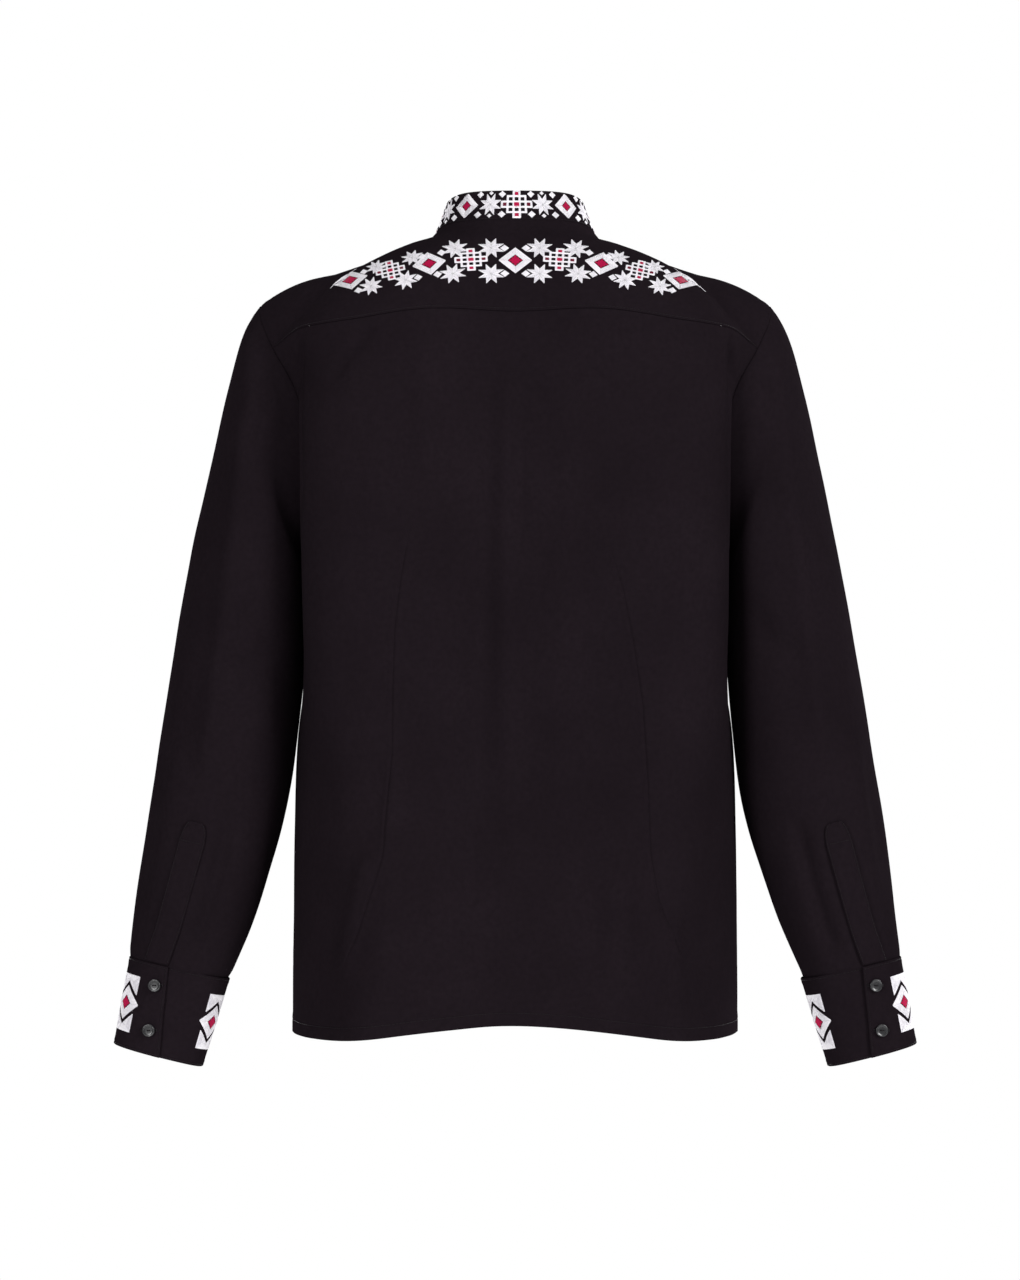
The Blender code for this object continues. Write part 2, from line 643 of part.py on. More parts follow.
def button_mesh(material, parts, cutters):
    """A dished round button with a raised rim and two thread holes, facing +Z."""
    profile = (
        (0.0, 0.62),
        (0.50, 0.66),
        (0.74, 0.96),
        (0.90, 1.00),
        (1.00, 0.78),
        (0.97, 0.30),
        (0.70, 0.00),
        (0.0, 0.0),
    )
    shape = bmesh.new()
    points = [
        shape.verts.new((across * BUTTON_RADIUS, 0, up * BUTTON_THICKNESS))
        for across, up in profile
    ]
    for start, end in zip(points, points[1:]):
        shape.edges.new((start, end))
    mesh = bpy.data.meshes.new("button_profile")
    shape.to_mesh(mesh)
    shape.free()
    blank = bpy.data.objects.new("button_blank", mesh)
    parts.objects.link(blank)
    screw = blank.modifiers.new("turn", "SCREW")
    screw.steps = BUTTON_SIDES
    screw.render_steps = BUTTON_SIDES
    screw.use_merge_vertices = True
    screw.merge_threshold = 0.0001
    screw.use_normal_calculate = True
    drills = []
    for side in (-1, 1):
        bpy.ops.mesh.primitive_cylinder_add(
            vertices=8,
            radius=BUTTON_HOLE_RADIUS,
            depth=BUTTON_THICKNESS * 3,
            location=(side * BUTTON_HOLE_REACH, 0, BUTTON_THICKNESS / 2),
        )
        drill = bpy.context.object
        for owner in list(drill.users_collection):
            owner.objects.unlink(drill)
        cutters.objects.link(drill)
        drill.name = "button_drill"
        drill.hide_render = True
        drill.display_type = "WIRE"
        cut = blank.modifiers.new("thread_hole", "BOOLEAN")
        cut.operation = "DIFFERENCE"
        cut.object = drill
        drills.append(drill)
    bpy.context.view_layer.update()
    evaluated = blank.evaluated_get(bpy.context.evaluated_depsgraph_get())
    button = bpy.data.meshes.new_from_object(evaluated)
    button.name = "button"
    button.materials.clear()
    button.materials.append(material)
    for leftover in [blank, *drills]:
        bpy.data.objects.remove(leftover)
    return button


def place_button(name, mesh, point, normal, collection, spin_deg=0.0):
    """A button lying on the cloth at a point, facing along the cloth's normal."""
    facing = Vector(normal).normalized()
    turn = facing.to_track_quat("Z", "Y").to_matrix().to_4x4()
    spin = Matrix.Rotation(math.radians(spin_deg), 4, "Z")
    button = bpy.data.objects.new(name, mesh)
    collection.objects.link(button)
    place = Matrix.Translation(Vector(point) + facing * BUTTON_STANDOFF)
    button.matrix_world = place @ turn @ spin
    return button


def front_button_places(front):
    """Points down the middle of the right front, evenly spaced below the neck seam."""
    middle = front[:, 1]
    heights = np.linspace(*FRONT_BUTTON_HEIGHTS, FRONT_BUTTONS)
    order = np.argsort(middle[:, 2])
    levels = middle[order]
    places = []
    for height in heights:
        y = np.interp(height, levels[:, 2], levels[:, 1])
        ahead = np.interp(height + 0.01, levels[:, 2], levels[:, 1])
        behind = np.interp(height - 0.01, levels[:, 2], levels[:, 1])
        normal = np.array((0.0, -0.02, ahead - behind))
        places.append((np.array((0.0, y, height)), normal / np.linalg.norm(normal)))
    return places


def build_cloth(cloth, band, parts):
    back = back_grid()
    make_shell("back", back, CLOTH, cloth, parts, flipped=True)
    make_shell("yoke", yoke_grid(), CLOTH, cloth, parts, flipped=True)
    left_front = front_grid(left=True)
    right_front = front_grid(left=False)
    make_shell("front_left", left_front, CLOTH, cloth, parts)
    make_shell("front_right", right_front, CLOTH, cloth, parts, flipped=True)
    make_shell("collar", collar_grid(), COLLAR_WALL, band, parts, flipped=True)
    pairs = (
        ("sleeve", sleeve_grid(), CLOTH, cloth, True),
        ("cuff", cuff_grid(), CUFF_WALL, band, False),
        ("sleeve_placket", placket_grid(), PLACKET_WALL, cloth, False),
    )
    for name, grid, wall, material, closed in pairs:
        make_shell(f"{name}_left", grid, wall, material, parts, closed, flipped=closed)
        mirrored_shell(f"{name}_right", grid, wall, material, parts, closed, flipped=closed)
    return right_front


def build_buttons(right_front, gloss, parts, cutters):
    mesh = button_mesh(gloss, parts, cutters)
    for number, (point, normal) in enumerate(front_button_places(right_front), start=1):
        place_button(f"front_button_{number}", mesh, point, normal, parts, 90)
    lower = collar_point(180, 0.40)
    upper = collar_point(180, 0.60)
    along = upper - lower
    normal = np.array((0.0, -along[2], along[1]))
    place_button("collar_button", mesh, (lower + upper) / 2, normal, parts)
    for number, (share, degrees) in enumerate(CUFF_BUTTONS, start=1):
        point, normal = cuff_frame(share, degrees)
        place_button(f"cuff_button_left_{number}", mesh, point, normal, parts)
        turned, faced = mirrored(point), mirrored(normal)
        place_button(f"cuff_button_right_{number}", mesh, turned, faced, parts)


def main():
    for leftover in list(bpy.data.objects):
        bpy.data.objects.remove(leftover)
    parts = make_collection(COLLECTION, hidden=False)
    cutters = make_collection("cutters", hidden=True)
    cloth = make_material("black_cloth", BLACK_CLOTH, 0.75)
    band = make_material("embroidered_band", BAND_CLOTH, 0.7)
    gloss = make_material("black_button", BLACK_BUTTON, 0.15)
    right_front = build_cloth(cloth, band, parts)
    build_buttons(right_front, gloss, parts, cutters)


main()
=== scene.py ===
"""Vyshyvanka shirt: the finished look of a black shirt embroidered in white and crimson.

The shirt hangs in its worn, filled-out form. Units are metres, +Z is up, the back faces +Y,
the wearer's left is +X, and the origin is the middle of the neck opening. Each cloth piece
is a thin shell shaped by the same named rows as its solid, with its creases, seams, hems,
topstitching and embroidery added, thread by thread.
"""

import math
from collections import namedtuple
from functools import lru_cache

import bmesh
import bpy
import numpy as np
from bpy.props import FloatProperty, FloatVectorProperty, PointerProperty
from bpy.types import Operator, Panel, PropertyGroup
from mathutils import Matrix, Vector, noise


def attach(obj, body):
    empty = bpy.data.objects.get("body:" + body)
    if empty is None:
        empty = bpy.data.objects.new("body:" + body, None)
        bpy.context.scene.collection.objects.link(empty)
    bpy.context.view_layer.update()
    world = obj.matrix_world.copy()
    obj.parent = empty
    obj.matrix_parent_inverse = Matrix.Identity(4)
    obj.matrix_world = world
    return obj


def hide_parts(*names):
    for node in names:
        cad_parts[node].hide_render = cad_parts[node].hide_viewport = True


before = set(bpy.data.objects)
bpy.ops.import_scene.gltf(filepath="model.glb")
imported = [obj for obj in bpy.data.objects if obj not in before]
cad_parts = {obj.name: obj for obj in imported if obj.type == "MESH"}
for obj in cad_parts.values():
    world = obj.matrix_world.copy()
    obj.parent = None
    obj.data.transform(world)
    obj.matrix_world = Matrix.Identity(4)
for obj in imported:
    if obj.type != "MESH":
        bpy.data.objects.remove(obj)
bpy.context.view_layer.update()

bl_info = {
    "name": "Vyshyvanka shirt",
    "version": (1, 0, 0),
    "blender": (4, 5, 0),
    "location": "3D View > Sidebar > Shirt",
    "description": "Builds an embroidered shirt piece by piece on its packed frame",
    "category": "Object",
}

# ---------------------------------------------------------------- the shirt's own sizes

CUFF_WALL = 0.0018
SEAM_GAP = 0.0003
LAP_GAP = 0.0008
CLOTH = 0.0012

NECK_HALF_WIDTH = 0.0705
NECK_BACK = 0.055
NECK_FRONT = -0.060
NECK_DROP = 0.070
NECK_FALL_POWER = 2.3
COLLAR_WALL = 0.0020
COLLAR_HEIGHT = 0.0265
COLLAR_LEAN = 0.0095
COLLAR_LOWER = 0.08
COLLAR_UPRIGHT = 0.25
COLLAR_LAP_DEG = 11.5
COLLAR_EASE_DEG = (150.0, 170.0)

FRONT_LAP = 0.014
LAP_EASE = (0.018, 0.048)
YOKE_SEAM_LIFT = 0.0042
YOKE_STEP = 0.0030
YOKE_LIFT_END = 0.52
YOKE_SOFTENING = 40  # rounds of easing the fold that runs up from the yoke's corners
CUFF_EDGE_DEG = (81.5, 93.0)
CUFF_UNDERLAP_DEG = 36.0
CUFF_EASE_DEG = (300.0, 350.0)
CUFF_INSET = CUFF_WALL + LAP_GAP
PLACKET_WIDTH = 0.025
PLACKET_INNER_DEG = (90.0, 81.5)
PLACKET_TOP_ROW = 7.21
PLACKET_TIP = 0.10
PLACKET_TIP_WIDTH = 0.45

FOLD_AT = 0.67
NECK_SHARE = 0.34
NECK_HOLLOW = 0.8  # how far the shoulder line sinks beside the collar
EDGE_POWER = 5
SLUMP_ZERO = 0.43
RING_SQUARENESS = 2.25

BodyRow = namedtuple(
    "BodyRow", "name z_mid y_mid x_fold y_fold z_fold x_end z_end turn end_turn armhole"
)
BACK_ROWS = (
    BodyRow("hem", -0.6950, 0.1060, 0.150, 0.0900, -0.7085, 0.1942, -0.7070, 40, 90, None),
    BodyRow("hip", -0.6200, 0.1065, 0.150, 0.0900, -0.6230, 0.1936, -0.6215, 40, 90, None),
    BodyRow("seat", -0.5300, 0.1035, 0.152, 0.0870, -0.5310, 0.1930, -0.5310, 40, 90, None),
    BodyRow("waist", -0.4400, 0.1010, 0.171, 0.0790, -0.4400, 0.1892, -0.4400, 60, 90, None),
    BodyRow("ribs", -0.3600, 0.1050, 0.182, 0.0730, -0.3600, 0.1755, -0.3600, 76, 96, None),
    BodyRow("underarm", -0.2900, 0.1110, 0.1850, 0.0710, -0.2880, 0.1690, -0.2850, 80, 98, 7.0),
    BodyRow("low_armhole", -0.2450, 0.1140, 0.1860, 0.0710, -0.2430, None, None, 80, 118, 5.2),
    BodyRow("blade", -0.1880, 0.1145, 0.1860, 0.0720, -0.1850, None, None, 74, 112, 4.0),
    BodyRow("back_notch", -0.1330, 0.1110, 0.1850, 0.0730, -0.1320, None, None, 58, 78, 3.0),
    BodyRow("yoke_seam", -0.0819, 0.1000, 0.1820, 0.0730, -0.0938, None, None, 42, 52, 2.0),
)
FRONT_ROWS = (
    BodyRow("hem", -0.7000, 0.1130, 0.150, 0.0930, -0.7090, 0.1942, -0.7070, 42, 90, None),
    BodyRow("hip", -0.6200, 0.1150, 0.150, 0.0940, -0.6230, 0.1936, -0.6215, 42, 90, None),
    BodyRow("seat", -0.5300, 0.1165, 0.152, 0.0930, -0.5310, 0.1930, -0.5310, 42, 90, None),
    BodyRow("waist", -0.4400, 0.1185, 0.171, 0.0880, -0.4400, 0.1892, -0.4400, 60, 90, None),
    BodyRow("ribs", -0.3600, 0.1215, 0.182, 0.0820, -0.3600, 0.1755, -0.3600, 76, 96, None),
    BodyRow("underarm", -0.2900, 0.1225, 0.1850, 0.0800, -0.2880, 0.1690, -0.2850, 80, 98, 7.0),
    BodyRow("low_armhole", -0.2450, 0.1200, 0.1860, 0.0780, -0.2430, None, None, 80, 118, 8.8),
    BodyRow("chest", -0.1880, 0.1110, 0.1860, 0.0740, -0.1850, None, None, 72, 112, 10.0),
    BodyRow("upper_chest", -0.1350, 0.0930, 0.1840, 0.0700, -0.1340, None, None, 54, 78, 11.0),
)

SeamPoint = namedtuple("SeamPoint", "name x y z")
ARMHOLE = (
    SeamPoint("shoulder", 0.2247, -0.0020, -0.0728),
    SeamPoint("back_cap", 0.2208, 0.0230, -0.0889),
    SeamPoint("back_yoke_seam", 0.2105, 0.0410, -0.1107),
    SeamPoint("back_notch", 0.1922, 0.0510, -0.1433),
    SeamPoint("back_blade", 0.1790, 0.0525, -0.1900),
    SeamPoint("back_low", 0.1730, 0.0430, -0.2380),
    SeamPoint("back_under", 0.1698, 0.0240, -0.2730),
    SeamPoint("underarm", 0.1690, 0.0000, -0.2850),
    SeamPoint("front_under", 0.1698, -0.0250, -0.2730),
    SeamPoint("front_low", 0.1730, -0.0450, -0.2380),
    SeamPoint("front_chest", 0.1795, -0.0555, -0.1900),
    SeamPoint("front_notch", 0.1930, -0.0550, -0.1433),
    SeamPoint("front_yoke_seam", 0.2115, -0.0450, -0.1080),
    SeamPoint("front_cap", 0.2212, -0.0260, -0.0875),
)
UNDERARM = [point.name for point in ARMHOLE].index("underarm")

YokeLine = namedtuple("YokeLine", "name across neck_deg rise_y rise_z slump")
YOKE_LINES = (
    YokeLine("middle_back", 0.00, 0, 0.0060, 0.0030, 0.00),
    YokeLine("blade", 0.28, 34, 0.0090, 0.0090, 0.03),
    YokeLine("corner", 0.56, 64, 0.0080, 0.0160, 0.08),
    YokeLine("shoulder", 0.78, 90, 0.0000, 0.0000, 0.125),
    YokeLine("front_seam", 1.00, 117, -0.0060, 0.0070, 0.06),
)
YOKE_CORNER = YOKE_LINES[2].across

SleeveRow = namedtuple("SleeveRow", "name x_out z_out x_in z_in y_mid half_depth")
SLEEVE_ROWS = (
    SleeveRow("cap", 0.2362, -0.0935, 0.1800, -0.2900, -0.001, 0.0600),
    SleeveRow("high_biceps", 0.2514, -0.1447, 0.1805, -0.3160, 0.000, 0.0640),
    SleeveRow("biceps", 0.2673, -0.2149, 0.1820, -0.3540, 0.000, 0.0650),
    SleeveRow("low_biceps", 0.2825, -0.2851, 0.1850, -0.3970, -0.001, 0.0635),
    SleeveRow("elbow", 0.2958, -0.3552, 0.1895, -0.4400, -0.002, 0.0610),
    SleeveRow("below_elbow", 0.3082, -0.4254, 0.1955, -0.4870, -0.003, 0.0580),
    SleeveRow("forearm", 0.3191, -0.4955, 0.2048, -0.5290, -0.003, 0.0535),
    SleeveRow("low_forearm", 0.3287, -0.5657, 0.2212, -0.5823, -0.002, 0.0475),
    SleeveRow("wrist", 0.3340, -0.6120, 0.2360, -0.6235, -0.001, 0.0405),
    SleeveRow("cuff_seam", 0.3370, -0.6403, 0.2520, -0.6590, 0.000, 0.0335),
)
CUFF_ROWS = (
    SleeveRow("seam", 0.3379, -0.6408, 0.2503, -0.6604, 0.000, 0.0345),
    SleeveRow("middle", 0.3452, -0.6790, 0.2620, -0.6990, 0.000, 0.0325),
    SleeveRow("opening", 0.3519, -0.7174, 0.2742, -0.7376, 0.000, 0.0310),
)

# The largest folds, which the solids have too: side 1 is the back and -1 the front.
Fold = namedtuple("Fold", "side x_top z_top x_bottom z_bottom width height")
FOLDS = (
    Fold(1, 0.100, -0.500, 0.134, -0.730, 0.024, 0.0070),
    Fold(1, -0.104, -0.500, -0.138, -0.730, 0.024, 0.0080),
    Fold(1, 0.030, -0.120, 0.022, -0.730, 0.020, -0.0045),
    Fold(1, -0.078, -0.120, -0.070, -0.480, 0.034, -0.0040),
    Fold(-1, 0.092, -0.340, 0.120, -0.730, 0.026, 0.0070),
    Fold(-1, -0.096, -0.360, -0.126, -0.730, 0.026, 0.0065),
    Fold(-1, 0.048, -0.420, 0.052, -0.730, 0.020, -0.0040),
    Fold(-1, -0.050, -0.400, -0.058, -0.730, 0.020, -0.0040),
)

# Smaller creases, placed one by one: each runs smoothly through three places given as x and
# z, and stands out, or sinks where height is below zero. side is 1 behind and -1 in front.
Crease = namedtuple("Crease", "side x_a z_a x_b z_b x_c z_c width height")
BACK_CREASES = (
    Crease(1, 0.1855, -0.092, 0.1880, -0.17, 0.1860, -0.27, 0.0030, -0.0030),
    Crease(1, -0.1855, -0.092, -0.1885, -0.17, -0.1860, -0.27, 0.0030, -0.0030),
    Crease(1, 0.018, -0.090, 0.030, -0.38, 0.044, -0.66, 0.012, -0.0018),
    Crease(1, -0.004, -0.140, -0.004, -0.22, -0.004, -0.31, 0.008, -0.0009),
    Crease(1, 0.006, -0.120, 0.010, -0.30, 0.004, -0.60, 0.010, 0.0010),
    Crease(1, -0.040, -0.100, -0.040, -0.30, -0.035, -0.55, 0.016, 0.0014),
    Crease(1, 0.080, -0.100, 0.078, -0.17, 0.075, -0.25, 0.012, 0.0012),
    Crease(1, 0.104, -0.460, 0.106, -0.50, 0.108, -0.54, 0.008, 0.0012),
    Crease(1, 0.124, -0.540, 0.138, -0.60, 0.150, -0.67, 0.009, 0.0022),
    Crease(1, -0.083, -0.560, -0.083, -0.61, -0.084, -0.67, 0.010, 0.0015),
    Crease(1, -0.133, -0.600, -0.136, -0.64, -0.138, -0.69, 0.008, 0.0016),
    Crease(1, -0.117, -0.110, -0.120, -0.25, -0.115, -0.39, 0.034, -0.0022),
    Crease(1, 0.122, -0.094, 0.142, -0.118, 0.162, -0.145, 0.005, -0.0011),
    Crease(1, -0.128, -0.096, -0.146, -0.115, -0.164, -0.140, 0.005, -0.0009),
)
FRONT_CREASES = (
    Crease(-1, 0.070, -0.14, 0.076, -0.24, 0.074, -0.36, 0.014, -0.0014),
    Crease(-1, -0.066, -0.13, -0.074, -0.22, -0.078, -0.33, 0.014, -0.0015),
    Crease(-1, 0.120, -0.11, 0.146, -0.15, 0.164, -0.20, 0.007, -0.0014),
    Crease(-1, -0.118, -0.11, -0.144, -0.14, -0.166, -0.18, 0.007, -0.0013),
    Crease(-1, 0.110, -0.46, 0.124, -0.55, 0.134, -0.67, 0.010, 0.0018),
    Crease(-1, -0.100, -0.45, -0.118, -0.56, -0.124, -0.68, 0.010, 0.0016),
    Crease(-1, 0.072, -0.50, 0.078, -0.58, 0.080, -0.66, 0.010, -0.0013),
    Crease(-1, -0.076, -0.48, -0.084, -0.57, -0.082, -0.66, 0.011, -0.0013),
    Crease(-1, 0.036, -0.18, 0.034, -0.28, 0.038, -0.40, 0.012, 0.0009),
    Crease(-1, -0.034, -0.20, -0.038, -0.30, -0.034, -0.42, 0.012, 0.0009),
)
LEFT_SLEEVE_CREASES = (
    Crease(1, 0.2326, -0.140, 0.2480, -0.31, 0.2750, -0.515, 0.010, 0.0022),
    Crease(1, 0.3030, -0.450, 0.3180, -0.53, 0.3270, -0.600, 0.006, -0.0018),
    Crease(1, 0.2450, -0.500, 0.2620, -0.58, 0.2850, -0.645, 0.007, -0.0022),
    Crease(1, 0.3000, -0.590, 0.3050, -0.62, 0.3090, -0.648, 0.004, -0.0014),
    Crease(1, 0.2060, -0.130, 0.2220, -0.16, 0.2330, -0.210, 0.006, -0.0010),
    Crease(1, 0.2080, -0.350, 0.2300, -0.385, 0.2620, -0.380, 0.011, -0.0012),
    Crease(-1, 0.2300, -0.150, 0.2440, -0.30, 0.2640, -0.470, 0.011, 0.0020),
    Crease(-1, 0.2120, -0.330, 0.2360, -0.37, 0.2700, -0.390, 0.010, -0.0022),
    Crease(-1, 0.2160, -0.380, 0.2420, -0.41, 0.2780, -0.415, 0.009, -0.0018),
    Crease(-1, 0.2500, -0.520, 0.2660, -0.58, 0.2820, -0.645, 0.007, -0.0020),
    Crease(-1, 0.2960, -0.480, 0.3080, -0.56, 0.3160, -0.645, 0.007, -0.0020),
)
RIGHT_SLEEVE_CREASES = (
    Crease(1, -0.2310, -0.150, -0.2460, -0.30, -0.2730, -0.510, 0.011, 0.0021),
    Crease(1, -0.3050, -0.440, -0.3170, -0.52, -0.3260, -0.590, 0.006, -0.0017),
    Crease(1, -0.2430, -0.510, -0.2600, -0.585, -0.2830, -0.645, 0.007, -0.0023),
    Crease(1, -0.2990, -0.600, -0.3040, -0.625, -0.3080, -0.648, 0.004, -0.0013),
    Crease(1, -0.2050, -0.128, -0.2200, -0.155, -0.2320, -0.200, 0.006, -0.0011),
    Crease(1, -0.2070, -0.330, -0.2280, -0.370, -0.2580, -0.372, 0.011, -0.0013),
    Crease(-1, -0.2310, -0.160, -0.2460, -0.31, -0.2650, -0.480, 0.011, 0.0020),
    Crease(-1, -0.2110, -0.320, -0.2340, -0.36, -0.2680, -0.375, 0.010, -0.0021),
    Crease(-1, -0.2180, -0.375, -0.2430, -0.40, -0.2800, -0.405, 0.009, -0.0019),
    Crease(-1, -0.2520, -0.530, -0.2680, -0.59, -0.2830, -0.645, 0.007, -0.0019),
    Crease(-1, -0.2950, -0.490, -0.3070, -0.57, -0.3150, -0.645, 0.007, -0.0021),
)
YOKE_CREASES = (
    Crease(1, 0.166, -0.050, 0.180, -0.072, 0.186, -0.092, 0.006, -0.0010),
    Crease(1, -0.166, -0.050, -0.180, -0.072, -0.186, -0.092, 0.006, -0.0011),
)

# The back darts, top to bottom.
DartPoint = namedtuple("DartPoint", "x z")
LEFT_DART = (
    DartPoint(0.0902, -0.2654), DartPoint(0.0988, -0.3125), DartPoint(0.1039, -0.3554),
    DartPoint(0.1056, -0.4112), DartPoint(0.1062, -0.4626), DartPoint(0.1142, -0.5484),
    DartPoint(0.1345, -0.6170), DartPoint(0.1485, -0.6513),
)
RIGHT_DART = (
    DartPoint(-0.0813, -0.2868), DartPoint(-0.0916, -0.3211), DartPoint(-0.1002, -0.3640),
    DartPoint(-0.1087, -0.4197), DartPoint(-0.1130, -0.4841), DartPoint(-0.1156, -0.5484),
    DartPoint(-0.1226, -0.5870), DartPoint(-0.1370, -0.6255), DartPoint(-0.1499, -0.6530),
)
DART_DEPTH = 0.0007

# How a panel's edge is finished: the ridge that its seam allowance makes, and where the
# line of topstitching presses it down, by distance from the edge.
Finish = namedtuple("Finish", "ridge rise reach stitch_at roll")
PLAIN_SEAM = Finish(0.00040, 0.0012, 0.0075, None, 0.0)
LAPPED_SEAM = Finish(0.00045, 0.0007, 0.0080, 0.0026, 0.0)
HEM = Finish(0.00045, 0.0006, 0.0130, 0.0115, 0.00035)
UNDER_SEAM = Finish(0.0, 0.0006, 0.004, None, 0.0004)
BAND_EDGE = Finish(0.00030, 0.0006, 0.0050, 0.0022, 0.00045)
STITCH_SINK = 0.00035
STITCH_SPREAD = 0.0007
EDGE_STEPS = (0.0, 0.0003, 0.0007, 0.0012, 0.0019, 0.0026, 0.0033, 0.0042, 0.0060, 0.0080)
HEM_STEPS = (0.0, 0.0003, 0.0007, 0.0015, 0.0060, 0.0098, 0.0108, 0.0115, 0.0122, 0.0132)


# ---------------------------------------------------------------- curves and rows


def hermite(start, end, start_slope, end_slope, share):
    square = share * share
    cube = square * share
    return (
        (2 * cube - 3 * square + 1) * start
        + (cube - 2 * square + share) * start_slope
        + (3 * square - 2 * cube) * end
        + (cube - square) * end_slope
    )


def through(rows, at):
    """Points of the smooth surface through the rows; at counts rows, so 1.5 is midway."""
    rows = np.asarray(rows, float)
    steps = np.diff(rows, axis=0)
    gaps = np.linalg.norm(steps, axis=2).mean(axis=1)[:, None, None]
    slopes = steps / gaps
    inner = (slopes[:-1] * gaps[1:] + slopes[1:] * gaps[:-1]) / (gaps[:-1] + gaps[1:])
    tangents = np.concatenate([slopes[:1], inner, slopes[-1:]])
    found = []
    for place in at:
        first = min(max(int(place), 0), len(rows) - 2)
        span = gaps[first]
        ends = (rows[first], rows[first + 1])
        headings = (tangents[first] * span, tangents[first + 1] * span)
        found.append(hermite(*ends, *headings, place - first))
    return np.array(found)


def smooth_step(value):
    value = np.clip(value, 0.0, 1.0)
    return value * value * (3 - 2 * value)


def eased(value, ends):
    """0 up to the first end and 1 beyond the second, smooth between them."""
    return smooth_step((value - ends[0]) / (ends[1] - ends[0]))


def mirrored(points):
    return np.asarray(points) * (-1.0, 1.0, 1.0)


def spaced(length, step, low=EDGE_STEPS, high=EDGE_STEPS):
    """Places from 0 to a length, about a step apart, and closer by the two ends."""
    even = np.linspace(0, length, max(2, round(length / step)) + 1)
    clear = (even > low[-1] + step / 3) & (even < length - high[-1] - step / 3)
    return np.concatenate([low, even[clear], length - np.array(high)[::-1]])


def row_places(rows, step, low, high):
    """Places for through, about a step apart in metres and closer by the two ends."""
    gaps = np.linalg.norm(np.diff(np.asarray(rows), axis=0), axis=2).mean(axis=1)
    run = np.concatenate([[0], np.cumsum(gaps)])
    return np.interp(spaced(run[-1], step, low, high), run, range(len(run)))


def armhole_points(at):
    """The armhole seam at the given places, which count ARMHOLE's points and wrap round."""
    count = len(ARMHOLE)
    loop = [[(point.x, point.y, point.z)] for point in ARMHOLE]
    wrapped = loop[-2:] + loop + loop[:3]
    return through(wrapped, [place % count + 2 for place in at])[:, 0]


def neck_point(degrees):
    """The neck seam, from 0 at the middle of the back to 180 at the middle of the front."""
    angle = math.radians(degrees)
    middle = (NECK_BACK + NECK_FRONT) / 2
    reach = (NECK_BACK - NECK_FRONT) / 2
    fall = ((1 - math.cos(angle)) / 2) ** NECK_FALL_POWER
    return np.array(
        (NECK_HALF_WIDTH * math.sin(angle), middle + reach * math.cos(angle), -NECK_DROP * fall)
    )


# ---------------------------------------------------------------- the panels' plain forms


def body_row(row, side, shares):
    """One row of the left half of a body panel; side is 1 on the back and -1 on the front."""
    if row.armhole is None:
        end = np.array((row.x_end, 0.0, row.z_end))
    else:
        end = armhole_points([row.armhole])[0]
    start = np.array((0.0, side * row.y_mid, row.z_mid))
    fold = np.array((row.x_fold, side * row.y_fold, row.z_fold))
    inner = np.linalg.norm(fold - start)
    outer = np.linalg.norm(end - fold)

    def heading(degrees, rise):
        angle = math.radians(degrees)
        return np.array((math.cos(angle), -side * math.sin(angle), rise))

    first = heading(0, 0)
    middle = heading(row.turn, (end[2] - start[2]) / (inner + outer))
    last = heading(row.end_turn, (end[2] - fold[2]) / outer)
    points = []
    for share in shares:
        if share <= FOLD_AT:
            points.append(hermite(start, fold, first * inner, middle * inner, share / FOLD_AT))
        else:
            place = (share - FOLD_AT) / (1 - FOLD_AT)
            points.append(hermite(fold, end, middle * outer, last * outer, place))
    return np.array(points)


def yoke_line(across):
    values = [[[line.neck_deg, line.rise_y, line.rise_z, line.slump]] for line in YOKE_LINES]
    at = np.interp(across, [line.across for line in YOKE_LINES], range(len(YOKE_LINES)))
    return through(values, [at])[0, 0]


def yoke_edge(across):
    """The yoke's outer edge: along the back seam to the corner, then up the armhole."""
    if across <= YOKE_CORNER:
        share = across / YOKE_CORNER
        lift = YOKE_SEAM_LIFT * math.sin(math.pi * min(share / YOKE_LIFT_END, 1.0)) ** 2
        return body_row(BACK_ROWS[-1], 1, [share])[0] + (0.0, 0.0, lift)
    return armhole_points([2 - 4 * (across - YOKE_CORNER) / (1 - YOKE_CORNER)])[0]


def yoke_points(across, shares):
    """One line of the yoke's left half, from the neck seam to the outer edge."""
    neck_deg, rise_y, rise_z, slump = yoke_line(across)
    share = np.asarray(shares, float)[:, None]
    crown = 4 * share * (1 - share) * smooth_step((share + 0.05) / 0.30)
    wave = slump * share * (1 - share) * (share - SLUMP_ZERO - NECK_HOLLOW * (1 - share) ** 3)
    rise = crown * (0.0, rise_y, rise_z) + wave * (0.0, 0.0, 1.0)
    return neck_point(neck_deg) * (1 - share) + yoke_edge(across) * share + rise


def add_folds(points, side):
    """Moves the points of a body panel along y by the large folds they lie on."""
    moved = points.copy()
    for fold in FOLDS:
        if fold.side == side:
            down = (fold.z_top - points[..., 2]) / (fold.z_top - fold.z_bottom)
            down = np.clip(down, 0.0, 1.0)
            line = fold.x_top + (fold.x_bottom - fold.x_top) * down
            spread = np.exp(-(((points[..., 0] - line) / fold.width) ** 2))
            moved[..., 1] += side * fold.height * spread * smooth_step(1.6 * down)
    return moved


